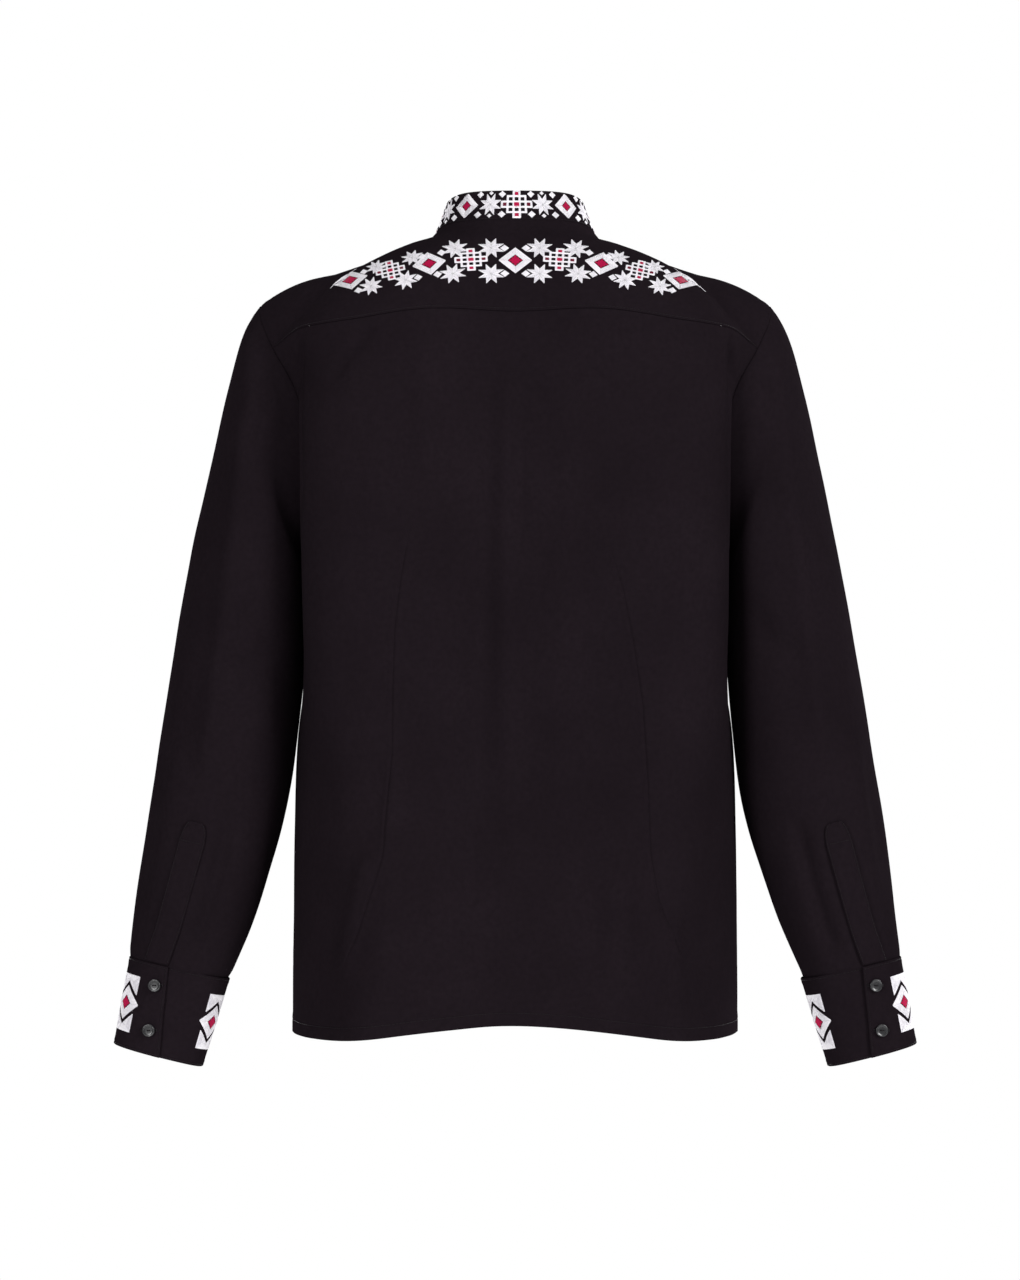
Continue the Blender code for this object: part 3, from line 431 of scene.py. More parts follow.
def half_body(rows, side, step, low):
    """A body panel's left half as dense rows, its armhole edge exactly on the seam."""
    table = BACK_ROWS if side > 0 else FRONT_ROWS
    at = row_places(rows, step, low, EDGE_STEPS)
    grid = through(rows, at)
    under = [row.name for row in table].index("underarm")
    stations = [row.armhole for row in table if row.armhole is not None]
    if side < 0:
        stations.append(len(ARMHOLE) - 2.0)
    side_seam = [rows[index][-1:] for index in range(under + 1)]
    shares = np.linalg.norm(np.diff(grid, axis=1), axis=2).cumsum(axis=1)
    shares = np.concatenate([np.zeros((len(grid), 1)), shares / shares[:, -1:]], axis=1)
    for index, place in enumerate(at):
        if place > under:
            station = np.interp(place - under, range(len(stations)), stations)
            edge = armhole_points([station])[0]
        else:
            edge = through(side_seam, [place])[0, 0]
        grid[index] += (edge - grid[index, -1]) * shares[index][:, None] ** EDGE_POWER
    return grid


def body_shares(step, inner, outer, low=(0.0,)):
    """Shares of a body row for columns about a step apart, closer by the side seam."""
    return np.interp(spaced(inner + outer, step, low), [0, inner, inner + outer], [0, FOLD_AT, 1])


def back_form(step):
    shares = body_shares(step, 0.205, 0.110)
    rows = [body_row(row, 1, shares) for row in BACK_ROWS]
    rows[-1] = np.array([yoke_edge(share * YOKE_CORNER) for share in shares])
    half = half_body(rows, 1, step, HEM_STEPS)
    return add_folds(np.concatenate([mirrored(half[:, :0:-1]), half], axis=1), 1)


def front_form(left, step):
    """A front from past the middle to its side seam; the left one passes under the right."""
    front_seam = YOKE_LINES[-1]
    lap_share = NECK_SHARE * COLLAR_LAP_DEG / (180 - front_seam.neck_deg)
    lap = lap_share * (1 - np.array((0.0, 0.02, 0.05, 0.09, 0.16, 0.22, 0.28, 0.5, 0.75, 1.0)))
    beyond = body_shares(step, 0.215, 0.110)
    shares = np.concatenate([lap[::-1], beyond[beyond > lap_share * 1.15]])
    top = []
    for share in shares:
        if share <= NECK_SHARE:
            top.append(neck_point(180 - (180 - front_seam.neck_deg) * share / NECK_SHARE))
        else:
            place = (share - NECK_SHARE) / (1 - NECK_SHARE)
            top.append(yoke_points(front_seam.across, [place])[0])
    rows = [body_row(row, -1, shares) for row in FRONT_ROWS] + [np.array(top)]
    half = half_body(rows, -1, step, HEM_STEPS)
    lapped = len(lap)
    half[:-1, :lapped, 0] = FRONT_LAP * shares[:lapped] / lap_share
    grid = np.concatenate([mirrored(half[:, lapped - 1:0:-1]), half], axis=1)
    if not left:
        grid = mirrored(grid)
    grid = add_folds(grid, -1)
    if left:
        grid[..., 1] += (CLOTH + LAP_GAP) * (1 - eased(grid[..., 0], LAP_EASE))
    return grid


def yoke_form(step):
    """Rows run over the shoulders from front to front, columns from neck to outer edge."""
    seam = np.linspace(0, YOKE_CORNER, round(0.185 / step) + 1)
    cap = YOKE_CORNER + (1 - YOKE_CORNER) * spaced(0.095, step, (0.0,)) / 0.095
    shares = spaced(0.1, step) / 0.1
    half = np.array([yoke_points(place, shares) for place in (*seam, *cap[1:])])
    grid = np.concatenate([mirrored(half[:0:-1]), half])
    places = np.abs(np.arange(len(grid)) - len(half) + 1)
    last = len(half) - 1
    free = eased(shares, (0.0, 0.2)) * (1 - eased(shares, (0.86, 1.0)))
    free = free[None, :, None] * (1 - eased(places, (last - 16, last - 10)))[:, None, None]
    for _ in range(YOKE_SOFTENING):
        for amount in (0.60, -0.63):
            grid[1:-1] += amount * free[1:-1] * ((grid[:-2] + grid[2:]) / 2 - grid[1:-1])
    return grid


def ring_points(row, degrees):
    """A ring's points: 0 is the outer side, 90 the back, 180 the side next to the body."""
    angle = np.radians(np.asarray(degrees, float))
    power = 2 / RING_SQUARENESS
    along = np.sign(np.cos(angle)) * np.abs(np.cos(angle)) ** power
    across = np.sign(np.sin(angle)) * np.abs(np.sin(angle)) ** power
    outer = np.array((row.x_out, row.y_mid, row.z_out))
    inner = np.array((row.x_in, row.y_mid, row.z_in))
    depth = np.array((0.0, row.half_depth, 0.0))
    return (outer + inner) / 2 + np.outer(along, (outer - inner) / 2) + np.outer(across, depth)


def armhole_ring(angles):
    """The armhole seam's points at ring angles, by their share of its length."""
    places = np.linspace(0, len(ARMHOLE), 281)
    steps = np.diff(armhole_points(places), axis=0)
    run = np.concatenate([[0], np.cumsum(np.linalg.norm(steps, axis=1))])
    under = np.interp(UNDERARM, places, run)
    turns = np.interp(run, [0, under, run[-1]], [0, 180, 360])
    return armhole_points(np.interp(np.mod(angles, 360), turns, places))


def sleeve_rows(angles):
    return [armhole_ring(angles)] + [ring_points(row, angles) for row in SLEEVE_ROWS]


def sleeve_form(step):
    """Rings of the left sleeve from the armhole to inside the cuff."""
    seam = 180 + np.array((-3.0, -1.6, -0.9, -0.4, 0.4, 0.9, 1.6, 3.0))
    even = np.arange(0, 360, 360 / round(0.40 / step))
    angles = np.sort(np.concatenate([even[np.abs(even - 180) > 4], seam, [180]]))
    rows = sleeve_rows(angles)
    grid = through(rows, row_places(rows, step, EDGE_STEPS, (0.0, 0.003, 0.006)))
    down = grid[-1] - grid[-2]
    down /= np.linalg.norm(down, axis=1, keepdims=True)
    middle = grid[-1].mean(axis=0)
    tucks = ((0.002, 0.03), (0.005, 0.05))
    inside = [grid[-1] + down * far + (middle - grid[-1]) * draw for far, draw in tucks]
    return np.concatenate([grid, inside])


def cuff_form(step):
    """The cuff's strip, from its upper end round the outer side to the end underneath."""
    high = CUFF_EDGE_DEG
    shares = spaced(0.079, step) / 0.079
    turns = (360 + CUFF_UNDERLAP_DEG) * spaced(0.262, step) / 0.262
    grid = []
    for share in shares:
        degrees = high[0] + (high[1] - high[0]) * share - turns
        rows = [ring_points(row, degrees) for row in CUFF_ROWS]
        grid.append(through(rows, [share * (len(CUFF_ROWS) - 1)])[0])
    grid = np.array(grid)
    under = eased(turns, CUFF_EASE_DEG)[None, :, None]
    return grid - facings(grid, 1) * CUFF_INSET * under


def placket_form(step):
    """The strip over the sleeve's slit, on the sleeve's points moved out, its top rounded."""
    last_row = len(SLEEVE_ROWS) - 0.02
    rim = np.array((0.0, 0.06, 0.2, 0.5, 1.0)) * PLACKET_TIP
    down = np.concatenate([rim, np.linspace(0.15, 1, round(0.11 / step))])
    across = np.concatenate([[-0.5, -0.47, -0.43], np.linspace(-0.38, 0.38, 13), [0.43, 0.47, 0.5]])
    span_deg = 12.0
    first, last = PLACKET_INNER_DEG
    degrees = max(first, last) - np.arange(-1.0, 60.0)
    rows = sleeve_rows(degrees)
    at = PLACKET_TOP_ROW + (last_row - PLACKET_TOP_ROW) * down
    lines = through(rows, at)
    normals = facings(lines, 1)
    grid = []
    for index, share_down in enumerate(down):
        inner = degrees[0] - (first + (last - first) * share_down)
        edge, outward = (
            np.array([np.interp(at, range(len(degrees)), lines[index, :, axis]) for axis in range(3)])
            for at in (inner, inner + span_deg)
        )
        wide = span_deg * PLACKET_WIDTH / np.linalg.norm(edge - outward)
        rounding = math.sqrt(1 - (1 - min(share_down / PLACKET_TIP, 1.0)) ** 2)
        share = PLACKET_TIP_WIDTH + (1 - PLACKET_TIP_WIDTH) * rounding
        turned = inner + wide * (0.5 + across * share)
        found = [np.interp(turned, range(len(degrees)), lines[index, :, axis]) for axis in range(3)]
        faced = [np.interp(turned, range(len(degrees)), normals[index, :, axis]) for axis in range(3)]
        grid.append(np.array(found).T + np.array(faced).T * (SEAM_GAP + 0.0010))
    return np.array(grid)


def collar_form(step):
    """The stand collar from its right end, which laps over, round to its left end."""
    end = 180 + COLLAR_LAP_DEG
    columns = spaced(0.42, step) / 0.42 * 2 * end - end
    shares = spaced(0.028, step, EDGE_STEPS[:6], EDGE_STEPS[:7]) / 0.028 * 1.03 - 0.03
    grid = np.zeros((len(shares), len(columns), 3))
    for column, degrees in enumerate(columns):
        past = abs(degrees) > 180
        turned = math.copysign(360 - abs(degrees), -degrees) if past else degrees
        angle = math.radians(abs(turned))
        forward = eased(abs(turned), (90.0, 180.0))
        lean = COLLAR_LEAN * (1 - COLLAR_UPRIGHT * forward)
        rise = COLLAR_HEIGHT * (1 - COLLAR_LOWER * forward)
        slope = np.array((-math.sin(angle) * lean, -math.cos(angle) * lean, rise))
        points = neck_point(abs(turned)) + shares[:, None] * slope
        if turned < 0:
            points = mirrored(points)
        points[:, 1] += (COLLAR_WALL + LAP_GAP) * eased(degrees, COLLAR_EASE_DEG)
        grid[:, column] = points
    return grid



# ---------------------------------------------------------------- relief: seams and creases

PanelGrid = namedtuple("PanelGrid", "points normals closed sign")


def facings(points, sign, closed=False):
    """The unit vectors that stand out of a grid of points."""
    wide = np.concatenate([points[:, -1:], points, points[:, :1]], axis=1) if closed else points
    across = np.gradient(wide, axis=1)
    if closed:
        across = across[:, 1:-1]
    normals = np.cross(across, np.gradient(points, axis=0)) * sign
    return normals / np.maximum(np.linalg.norm(normals, axis=-1, keepdims=True), 1e-12)


def from_edge(points, edge):
    """Each point's distance along the cloth from one edge: low, high, left or right."""
    view = points if edge in ("low", "high") else np.swapaxes(points, 0, 1)
    if edge in ("high", "right"):
        view = view[::-1]
    steps = np.linalg.norm(np.diff(view, axis=0), axis=-1)
    run = np.concatenate([np.zeros_like(steps[:1]), np.cumsum(steps, axis=0)])
    if edge in ("high", "right"):
        run = run[::-1]
    return run if edge in ("low", "high") else run.T


def finish_height(distance, finish):
    """How far the cloth stands out at a distance from a finished edge."""
    rise = smooth_step(distance / finish.rise)
    fall = 1 - smooth_step((distance - finish.reach) / (0.35 * finish.reach))
    height = finish.ridge * rise * fall
    if finish.stitch_at is not None:
        height -= STITCH_SINK * np.exp(-(((distance - finish.stitch_at) / STITCH_SPREAD) ** 2))
    return height - finish.roll * (1 - smooth_step(distance / 0.0009))


def crease_path(crease, count=14):
    share = np.linspace(0, 1, count)[:, None]
    start, middle, end = (np.array(crease[index:index + 2]) for index in (1, 3, 5))
    return (
        2 * (share - 0.5) * (share - 1) * start
        - 4 * share * (share - 1) * middle
        + 2 * share * (share - 0.5) * end
    )


def crease_height(points, normals, creases):
    """The sum of the creases' heights at each point of a panel."""
    seen = points[..., (0, 2)]
    total = np.zeros(points.shape[:2])
    for crease in creases:
        path = crease_path(crease)
        nearest = np.full(total.shape, 1e9)
        along = np.zeros(total.shape)
        for index, (start, end) in enumerate(zip(path, path[1:])):
            run = end - start
            share = np.clip(((seen - start) @ run) / (run @ run), 0, 1)
            gap = np.linalg.norm(seen - start - share[..., None] * run, axis=-1)
            closer = gap < nearest
            nearest = np.where(closer, gap, nearest)
            along = np.where(closer, (index + share) / (len(path) - 1), along)
        taper = smooth_step(along / 0.22) * smooth_step((1 - along) / 0.22)
        shown = smooth_step(crease.side * normals[..., 1] * 2.5)
        total += crease.height * np.exp(-((nearest / crease.width) ** 2)) * taper * shown
    return total


def unevenness(points, amount, seed):
    """Slight random waves, longer down the cloth than across it."""
    height = np.zeros(points.shape[:2])
    for place in np.ndindex(height.shape):
        x, y, z = points[place]
        broad = noise.noise(Vector((16 * x + seed, 16 * y, 5.5 * z)))
        small = noise.noise(Vector((42 * x, 42 * y + seed, 17 * z)))
        height[place] = amount * (broad + 0.35 * small)
    return height


def worked_panel(form, sign, edges, creases=(), closed=False, uneven=0.0, seed=1.0, depth=1.0):
    """A plain form with creases pressed in and its edges finished.

    edges maps low, high, left and right to a Finish and whether another piece joins there.
    """
    normals = facings(form, sign, closed)
    height = crease_height(form, normals, creases) * depth
    if uneven:
        height += unevenness(form, uneven * depth, seed)
    for edge, (finish, joined) in edges.items():
        if joined:
            height *= eased(from_edge(form, edge), (0.0, 0.014))
    for edge, (finish, joined) in edges.items():
        height += finish_height(from_edge(form, edge), finish)
    points = form + normals * height[..., None]
    return PanelGrid(points, facings(points, sign, closed), closed, sign)


def along_lines(grid, lines):
    """Slides a grid's columns so that one follows each line, with close ones beside it."""
    offsets = np.array((-4.0, -2.6, -1.8, -1.1, -0.5, 0.0, 0.5, 1.1, 1.8, 2.6, 4.0)) * 0.001
    columns = grid.shape[1]
    central = np.arange(int(columns * 0.2), int(columns * 0.8))
    followed = []
    for line in lines:
        heights = [-point.z for point in line]
        x = np.interp(-grid[:, central, 2].mean(axis=1), heights, [point.x for point in line])
        rows = [np.interp(at, row[central, 0], central) for at, row in zip(x, grid)]
        followed.append(np.array(rows))
    anchors = [rows.mean() for rows in followed]
    pitch = np.linalg.norm(grid[0, columns // 2 + 1] - grid[0, columns // 2])
    base = np.arange(columns, dtype=float)
    for anchor in anchors:
        base = base[np.abs(base - anchor) > 0.0050 / pitch]
    base = np.sort(np.concatenate([base, *(anchor + offsets / pitch for anchor in anchors)]))
    moved = []
    for index, row in enumerate(grid):
        keys = [0, *(rows[index] for rows in followed), columns - 1]
        at = np.interp(base, [0, *anchors, columns - 1], keys)
        moved.append(np.array([np.interp(at, range(columns), row[:, axis]) for axis in range(3)]).T)
    return np.array(moved), [int(np.argmin(np.abs(base - anchor))) for anchor in anchors]


def dart_height(points, column, line):
    """The groove of a sewn dart, dying out at its two ends."""
    gap = np.linalg.norm(points - points[:, column:column + 1], axis=-1)
    z = points[:, column, 2]
    ends = eased(z, (line[-1].z, line[-1].z + 0.030)) * (1 - eased(z, (line[0].z - 0.030, line[0].z)))
    groove = -DART_DEPTH * np.exp(-((gap / 0.0009) ** 2))
    lip = 0.45 * DART_DEPTH * np.exp(-(((gap - 0.0024) / 0.0013) ** 2))
    return (groove + lip) * ends[:, None]


# ---------------------------------------------------------------- meshes

def link(piece):
    bpy.context.scene.collection.objects.link(piece)
    return piece


def cloth_object(name, panel, wall, material, body="root"):
    """A panel's mesh, its UV map in metres along the cloth, with a wall inwards."""
    rows, columns = panel.points.shape[:2]
    spans = columns if panel.closed else columns - 1
    row, column = np.meshgrid(np.arange(rows - 1), np.arange(spans), indexing="ij")
    after = column + 1
    corners = [(row, column), (row, after), (row + 1, after), (row + 1, column)]
    if panel.sign < 0:
        corners = corners[::-1]
    faces = np.stack([r * columns + c % columns for r, c in corners], axis=-1).reshape(-1, 4)
    wide = np.concatenate([panel.points, panel.points[:, :1]], axis=1)
    steps = np.linalg.norm(np.diff(wide, axis=1), axis=-1)
    across = np.concatenate([np.zeros((rows, 1)), np.cumsum(steps, axis=1)], axis=1)
    down = from_edge(panel.points, "low").mean(axis=1)
    uv = np.stack([np.stack([across[r, c], down[r]], axis=-1) for r, c in corners], axis=-2)
    mesh = bpy.data.meshes.new(name)
    mesh.from_pydata(panel.points.reshape(-1, 3).tolist(), [], faces.tolist())
    mesh.uv_layers.new(name="cloth").data.foreach_set("uv", uv.reshape(-1))
    mesh.materials.append(material)
    mesh.shade_smooth()
    piece = link(bpy.data.objects.new(name, mesh))
    solidify = piece.modifiers.new("wall", "SOLIDIFY")
    solidify.thickness = wall
    solidify.offset = -1.0
    solidify.use_even_offset = True
    solidify.use_rim = True
    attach(piece, body)
    return piece


def declare(piece, node, slot, width, length, held="hung"):
    """Hides the model's part that a piece of cloth stands for; the size it was cut to is not used."""
    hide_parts(node)


def surface_at(panel, rows, columns):
    """Points of a panel, and the way it faces, at fractions of rows and columns."""
    height, width = panel.points.shape[:2]
    rows = np.clip(rows, 0, height - 1.001)
    columns = np.mod(columns, width) if panel.closed else np.clip(columns, 0, width - 1.001)
    row, column = rows.astype(int), columns.astype(int)
    down, over = (rows - row)[..., None], (columns - column)[..., None]
    after = (column + 1) % width
    found = []
    for field in (panel.points, panel.normals):
        upper = field[row, column] * (1 - over) + field[row, after] * over
        lower = field[row + 1, column] * (1 - over) + field[row + 1, after] * over
        found.append(upper * (1 - down) + lower * down)
    return found


# ---------------------------------------------------------------- thread, stitch by stitch

WHITE, CRIMSON, WINE, BLACK = range(4)
# The last field is each stitch's painted shade: a darkening of its thread's colour that stands in for how
# its satin catches light by stitch direction.
Stitches = namedtuple("Stitches", "starts ends facings tones shades")


def thread_tree(name, materials):
    """A node group that lays a rounded thread along every loose edge of its mesh."""
    tree = bpy.data.node_groups.new(name, "GeometryNodeTree")
    sockets = tree.interface
    sockets.new_socket("Geometry", in_out="INPUT", socket_type="NodeSocketGeometry")
    sockets.new_socket("Geometry", in_out="OUTPUT", socket_type="NodeSocketGeometry")
    for label, default in (("Thread radius", 0.0003), ("Rise", 0.12)):
        sockets.new_socket(label, in_out="INPUT", socket_type="NodeSocketFloat").default_value = default
    for label, default in (("Sides", 4), ("Points", 4)):
        sockets.new_socket(label, in_out="INPUT", socket_type="NodeSocketInt").default_value = default
    nodes, links = tree.nodes, tree.links

    def add(kind, **settings):
        node = nodes.new(kind)
        for key, value in settings.items():
            setattr(node, key, value)
        return node

    def attribute(label, kind):
        node = add("GeometryNodeInputNamedAttribute", data_type=kind)
        node.inputs["Name"].default_value = label
        return node.outputs["Attribute"]

    def math_node(operation, *values):
        node = add("ShaderNodeMath", operation=operation)
        for socket, value in zip(node.inputs, values):
            if isinstance(value, (int, float)):
                socket.default_value = value
            else:
                links.new(value, socket)
        return node.outputs[0]

    given = add("NodeGroupInput")
    curves = add("GeometryNodeMeshToCurve")
    links.new(given.outputs["Geometry"], curves.inputs["Mesh"])
    longer = add("GeometryNodeResampleCurve")
    links.new(curves.outputs["Curve"], longer.inputs["Curve"])
    links.new(given.outputs["Points"], longer.inputs["Count"])
    share = add("GeometryNodeSplineParameter").outputs["Factor"]
    length = add("GeometryNodeSplineLength").outputs["Length"]
    arch = math_node("MULTIPLY", math_node("MULTIPLY", share, 4.0), math_node("SUBTRACT", 1.0, share))
    height = math_node("MULTIPLY", math_node("MULTIPLY", arch, given.outputs["Rise"]), length)
    offset = add("ShaderNodeVectorMath", operation="SCALE")
    links.new(attribute("facing", "FLOAT_VECTOR"), offset.inputs[0])
    links.new(height, offset.inputs["Scale"])
    bowed = add("GeometryNodeSetPosition")
    links.new(longer.outputs["Curve"], bowed.inputs["Geometry"])
    links.new(offset.outputs["Vector"], bowed.inputs["Offset"])
    ring = add("GeometryNodeCurvePrimitiveCircle")
    links.new(given.outputs["Sides"], ring.inputs["Resolution"])
    links.new(given.outputs["Thread radius"], ring.inputs["Radius"])
    thread = add("GeometryNodeCurveToMesh")
    thread.inputs["Fill Caps"].default_value = True
    links.new(bowed.outputs["Geometry"], thread.inputs["Curve"])
    links.new(ring.outputs["Curve"], thread.inputs["Profile Curve"])
    smooth = add("GeometryNodeSetShadeSmooth")
    links.new(thread.outputs["Mesh"], smooth.inputs["Geometry"])
    realized = add("GeometryNodeRealizeInstances")
    links.new(smooth.outputs["Geometry"], realized.inputs["Geometry"])
    last = realized.outputs["Geometry"]
    tone = attribute("tone", "INT")
    for number, material in materials.items():
        chosen = add("FunctionNodeCompare", data_type="INT", operation="EQUAL")
        links.new(tone, chosen.inputs[2])
        chosen.inputs[3].default_value = number
        coloured = add("GeometryNodeSetMaterial")
        coloured.inputs["Material"].default_value = material
        links.new(last, coloured.inputs["Geometry"])
        links.new(chosen.outputs["Result"], coloured.inputs["Selection"])
        last = coloured.outputs["Geometry"]
    links.new(last, add("NodeGroupOutput").inputs["Geometry"])
    return tree


def thread_object(name, stitches, materials, radius, rise, sides=4, points=4):
    """One mesh of laid thread from the two ends of every stitch."""
    count = len(stitches.starts)
    ends = np.empty((count * 2, 3))
    ends[0::2] = stitches.starts
    ends[1::2] = stitches.ends
    guide = bpy.data.meshes.new(name + "_guide")
    guide.from_pydata(ends.tolist(), np.arange(count * 2).reshape(-1, 2).tolist(), [])
    fields = (
        ("facing", "FLOAT_VECTOR", "vector", np.repeat(stitches.facings, 2, axis=0)),
        ("tone", "INT", "value", np.repeat(stitches.tones, 2)),
        ("shade", "FLOAT", "value", np.repeat(stitches.shades, 2)),
    )
    for label, kind, key, values in fields:
        guide.attributes.new(label, kind, "POINT").data.foreach_set(key, values.reshape(-1))
    laid = link(bpy.data.objects.new(name + "_guide", guide))
    tree = thread_tree(name + "_threads", materials)
    modifier = laid.modifiers.new("threads", "NODES")
    modifier.node_group = tree
    sizes = {"Thread radius": radius, "Rise": rise, "Sides": sides, "Points": points}
    for item in tree.interface.items_tree:
        if item.name in sizes and item.in_out == "INPUT":
            modifier[item.identifier] = sizes[item.name]
    bpy.context.view_layer.update()
    evaluated = laid.evaluated_get(bpy.context.evaluated_depsgraph_get())
    mesh = bpy.data.meshes.new_from_object(evaluated)
    mesh.name = name
    bpy.data.objects.remove(laid)
    piece = link(bpy.data.objects.new(name, mesh))
    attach(piece, "root")
    return piece

# ---------------------------------------------------------------- embroidery motifs
# A motif is a list of stitches round its own middle: two ends, tone and painted shade, a darkening that
# stands in for how the satin catches light by stitch direction.


def satin(outline, direction_deg, tone, shade, spacing, longest=0.0085):
    """Parallel stitches that fill an outline, running in the given direction."""
    angle = math.radians(direction_deg)
    run = np.array((math.cos(angle), math.sin(angle)))
    lift = np.array((-run[1], run[0]))
    corners = np.array(outline, float)
    level = corners @ lift
    found = []
    lines = max(1, round((level.max() - level.min()) / spacing))
    for number in range(lines):
        at = level.min() + (number + 0.5) * (level.max() - level.min()) / lines
        crossed = []
        for index, start in enumerate(corners):
            end = corners[(index + 1) % len(corners)]
            low, high = start @ lift, end @ lift
            if (low > at) != (high > at):
                crossed.append((start + (end - start) * (at - low) / (high - low)) @ run)
        crossed.sort()
        for left, right in zip(crossed[::2], crossed[1::2]):
            if right - left < spacing * 0.5:
                continue
            pieces = math.ceil((right - left) / longest)
            cuts = np.linspace(left, right, pieces + 1)
            cuts[1:-1] += (number % 3 - 1) * 0.12 * longest
            for start, end in zip(cuts, cuts[1:]):
                found.append((run * start + lift * at, run * end + lift * at, tone, shade))
    return found


def moved(stitches, x, y):
    shift = np.array((x, y))
    return [(start + shift, end + shift, tone, shade) for start, end, tone, shade in stitches]


def box(x, y, width, height):
    left, right = x - width / 2, x + width / 2
    low, high = y - height / 2, y + height / 2
    return [(left, low), (right, low), (right, high), (left, high)]


def star(width, height, spacing):
    """An eight-petalled folk star, each petal in two halves stitched from its spine."""
    waist, notch, tip = 0.50, 0.385, 0.40
    found = []
    for quarter in range(4):
        turn = math.radians(90 * quarter)
        cosine, sine = math.cos(turn), math.sin(turn)
        for side in (1, -1):
            ring = [(0, 0), (0, waist), (side * tip, 1), (side * notch, notch)]
            ring = [(x * cosine - y * sine, x * sine + y * cosine) for x, y in ring]
            middle, axis, point, corner = [(x * width / 2, y * height / 2) for x, y in ring]
            spine = math.degrees(math.atan2(point[1], point[0]))
            lean = 52 * side
            # The petal's two halves are stitched at opposite slants; the second is painted darker (0.86), a
            # painted shade standing in for the satin's sheen.
            found += satin([middle, axis, point], spine + lean, WHITE, 1.0, spacing)
            found += satin([middle, point, corner], spine - lean, WHITE, 0.86, spacing)
    return found


def rhomb(width, height, spacing):
    """A small filled rhomb."""
    outline = [(-width / 2, 0), (0, -height / 2), (width / 2, 0), (0, height / 2)]
    return satin(outline, 90, WHITE, 0.97, spacing)


def diamond(width, height, spacing, opening=0.47, tone=CRIMSON):
    """A broad white frame round a stepped, coloured middle."""
    outer = np.array([(width / 2, 0), (0, height / 2), (-width / 2, 0), (0, -height / 2)])
    inner = outer * opening
    found = []
    for index in range(4):
        after = (index + 1) % 4
        side = outer[after] - outer[index]
        across = math.degrees(math.atan2(side[1], side[0])) + 90
        quad = [outer[index], outer[after], inner[after], inner[index]]
        # Neighbouring sides, stitched in different directions, take painted shade in turn (1.0 and 0.92),
        # standing in for the satin's sheen.
        shade = 1.0 if index % 2 else 0.92
        found += satin(quad, across, WHITE, shade, spacing)
    steps = 5
    pitch_x, pitch_y = width * opening * 0.80 / steps, height * opening * 0.80 / steps
    for step in range(-2, 3):
        cells = steps - 2 * abs(step)
        block = box(0, step * pitch_y, cells * pitch_x, pitch_y * 1.02)
        found += satin(block, 90, tone, 1.0, spacing)
    return found


def lattice(width, height, spacing):
    """A cross of open squares in white bars, crimson in its middle and at its arms' ends."""
    pitch_x, pitch_y = width / 5.26, height / 5.26
    bar_x, bar_y = pitch_x * 0.36, pitch_y * 0.36
    found = []
    # Bars whose stitches run sideways are painted darker (0.9) than bars with upright stitches (1.0): a
    # painted shade for the satin's sheen by stitch direction.
    for step in (-1.5, -0.5, 0.5, 1.5):
        found += satin(box(0, step * pitch_y, 3.3 * pitch_x, bar_y), 90, WHITE, 1.0, spacing)
        found += satin(box(step * pitch_x, 0, bar_x, 3.3 * pitch_y), 0, WHITE, 0.9, spacing)
    for side in (-1, 1):
        for edge in (-0.5, 0.5):
            across = box(side * 2 * pitch_x, edge * pitch_y, pitch_x, bar_y)
            found += satin(across, 90, WHITE, 1.0, spacing)
            upright = box(edge * pitch_x, side * 2 * pitch_y, bar_x, pitch_y)
            found += satin(upright, 0, WHITE, 0.9, spacing)
        found += satin(box(side * 2.45 * pitch_x, 0, bar_x, 1.3 * pitch_y), 0, WHITE, 0.9, spacing)
        found += satin(box(0, side * 2.45 * pitch_y, 1.3 * pitch_x, bar_y), 90, WHITE, 1.0, spacing)
        found += satin(box(side * 2 * pitch_x, 0, pitch_x * 0.6, pitch_y * 0.6), 90, WINE, 1.0, spacing)
        found += satin(box(0, side * 2 * pitch_y, pitch_x * 0.6, pitch_y * 0.6), 90, CRIMSON, 1.0, spacing)
    found += satin(box(0, 0, pitch_x * 0.86, pitch_y * 0.86), 90, CRIMSON, 1.1, spacing)
    return found


def corner_triangle(right, up, width, height, spacing):
    """A right-angled triangle in a tile's corner; right and up are 1 or -1."""
    corner, beside, below = (0, 0), (-right * width, 0), (0, -up * height)
    middle = (-right * width * 0.34, -up * height * 0.34)
    # Its three parts, stitched in three directions, are painted in three shades (1.0, 0.88, 0.95), a
    # painted shade standing in for the satin's sheen.
    found = satin([corner, beside, middle], 90, WHITE, 1.0, spacing)
    found += satin([corner, middle, below], 0, WHITE, 0.88, spacing)
    found += satin([middle, beside, below], 45 * right * up, WHITE, 0.95, spacing)
    return found


def run_along(line):
    """How far along a line of points each of them lies."""
    return np.concatenate([[0], np.cumsum(np.linalg.norm(np.diff(line, axis=0), axis=1))])


def rolled_on(panel, motif, row, column):
    """A motif's stitches laid round a band by lengths along its cloth, its middle given."""
    at_row, at_column = round(row), round(column)
    line, fall = panel.points[at_row], panel.points[:, at_column]
    run, drop = run_along(line), run_along(fall)
    along = line[min(at_column + 1, len(line) - 1)] - line[at_column - 1]
    down = fall[at_row + 1] - fall[at_row - 1]
    along, down = along / np.linalg.norm(along), down / np.linalg.norm(down)
    lean = along @ down
    wanted = np.array([stitch[:2] for stitch in motif]).reshape(-1, 2)
    further = wanted[:, 1] * math.copysign(1 / math.sqrt(1 - lean**2), down[2])
    start = np.interp(column, range(len(run)), run), np.interp(row, range(len(drop)), drop)
    columns = np.interp(start[0] + wanted[:, 0] - further * lean, run, range(len(run)))
    rows = np.interp(start[1] + further, drop, range(len(drop)))
    height, width = panel.points.shape[:2]
    rows, columns = np.clip(rows, 0, height - 1.4), np.clip(columns, 0, width - 1.4)
    return stitches_at(panel, motif, rows, columns)


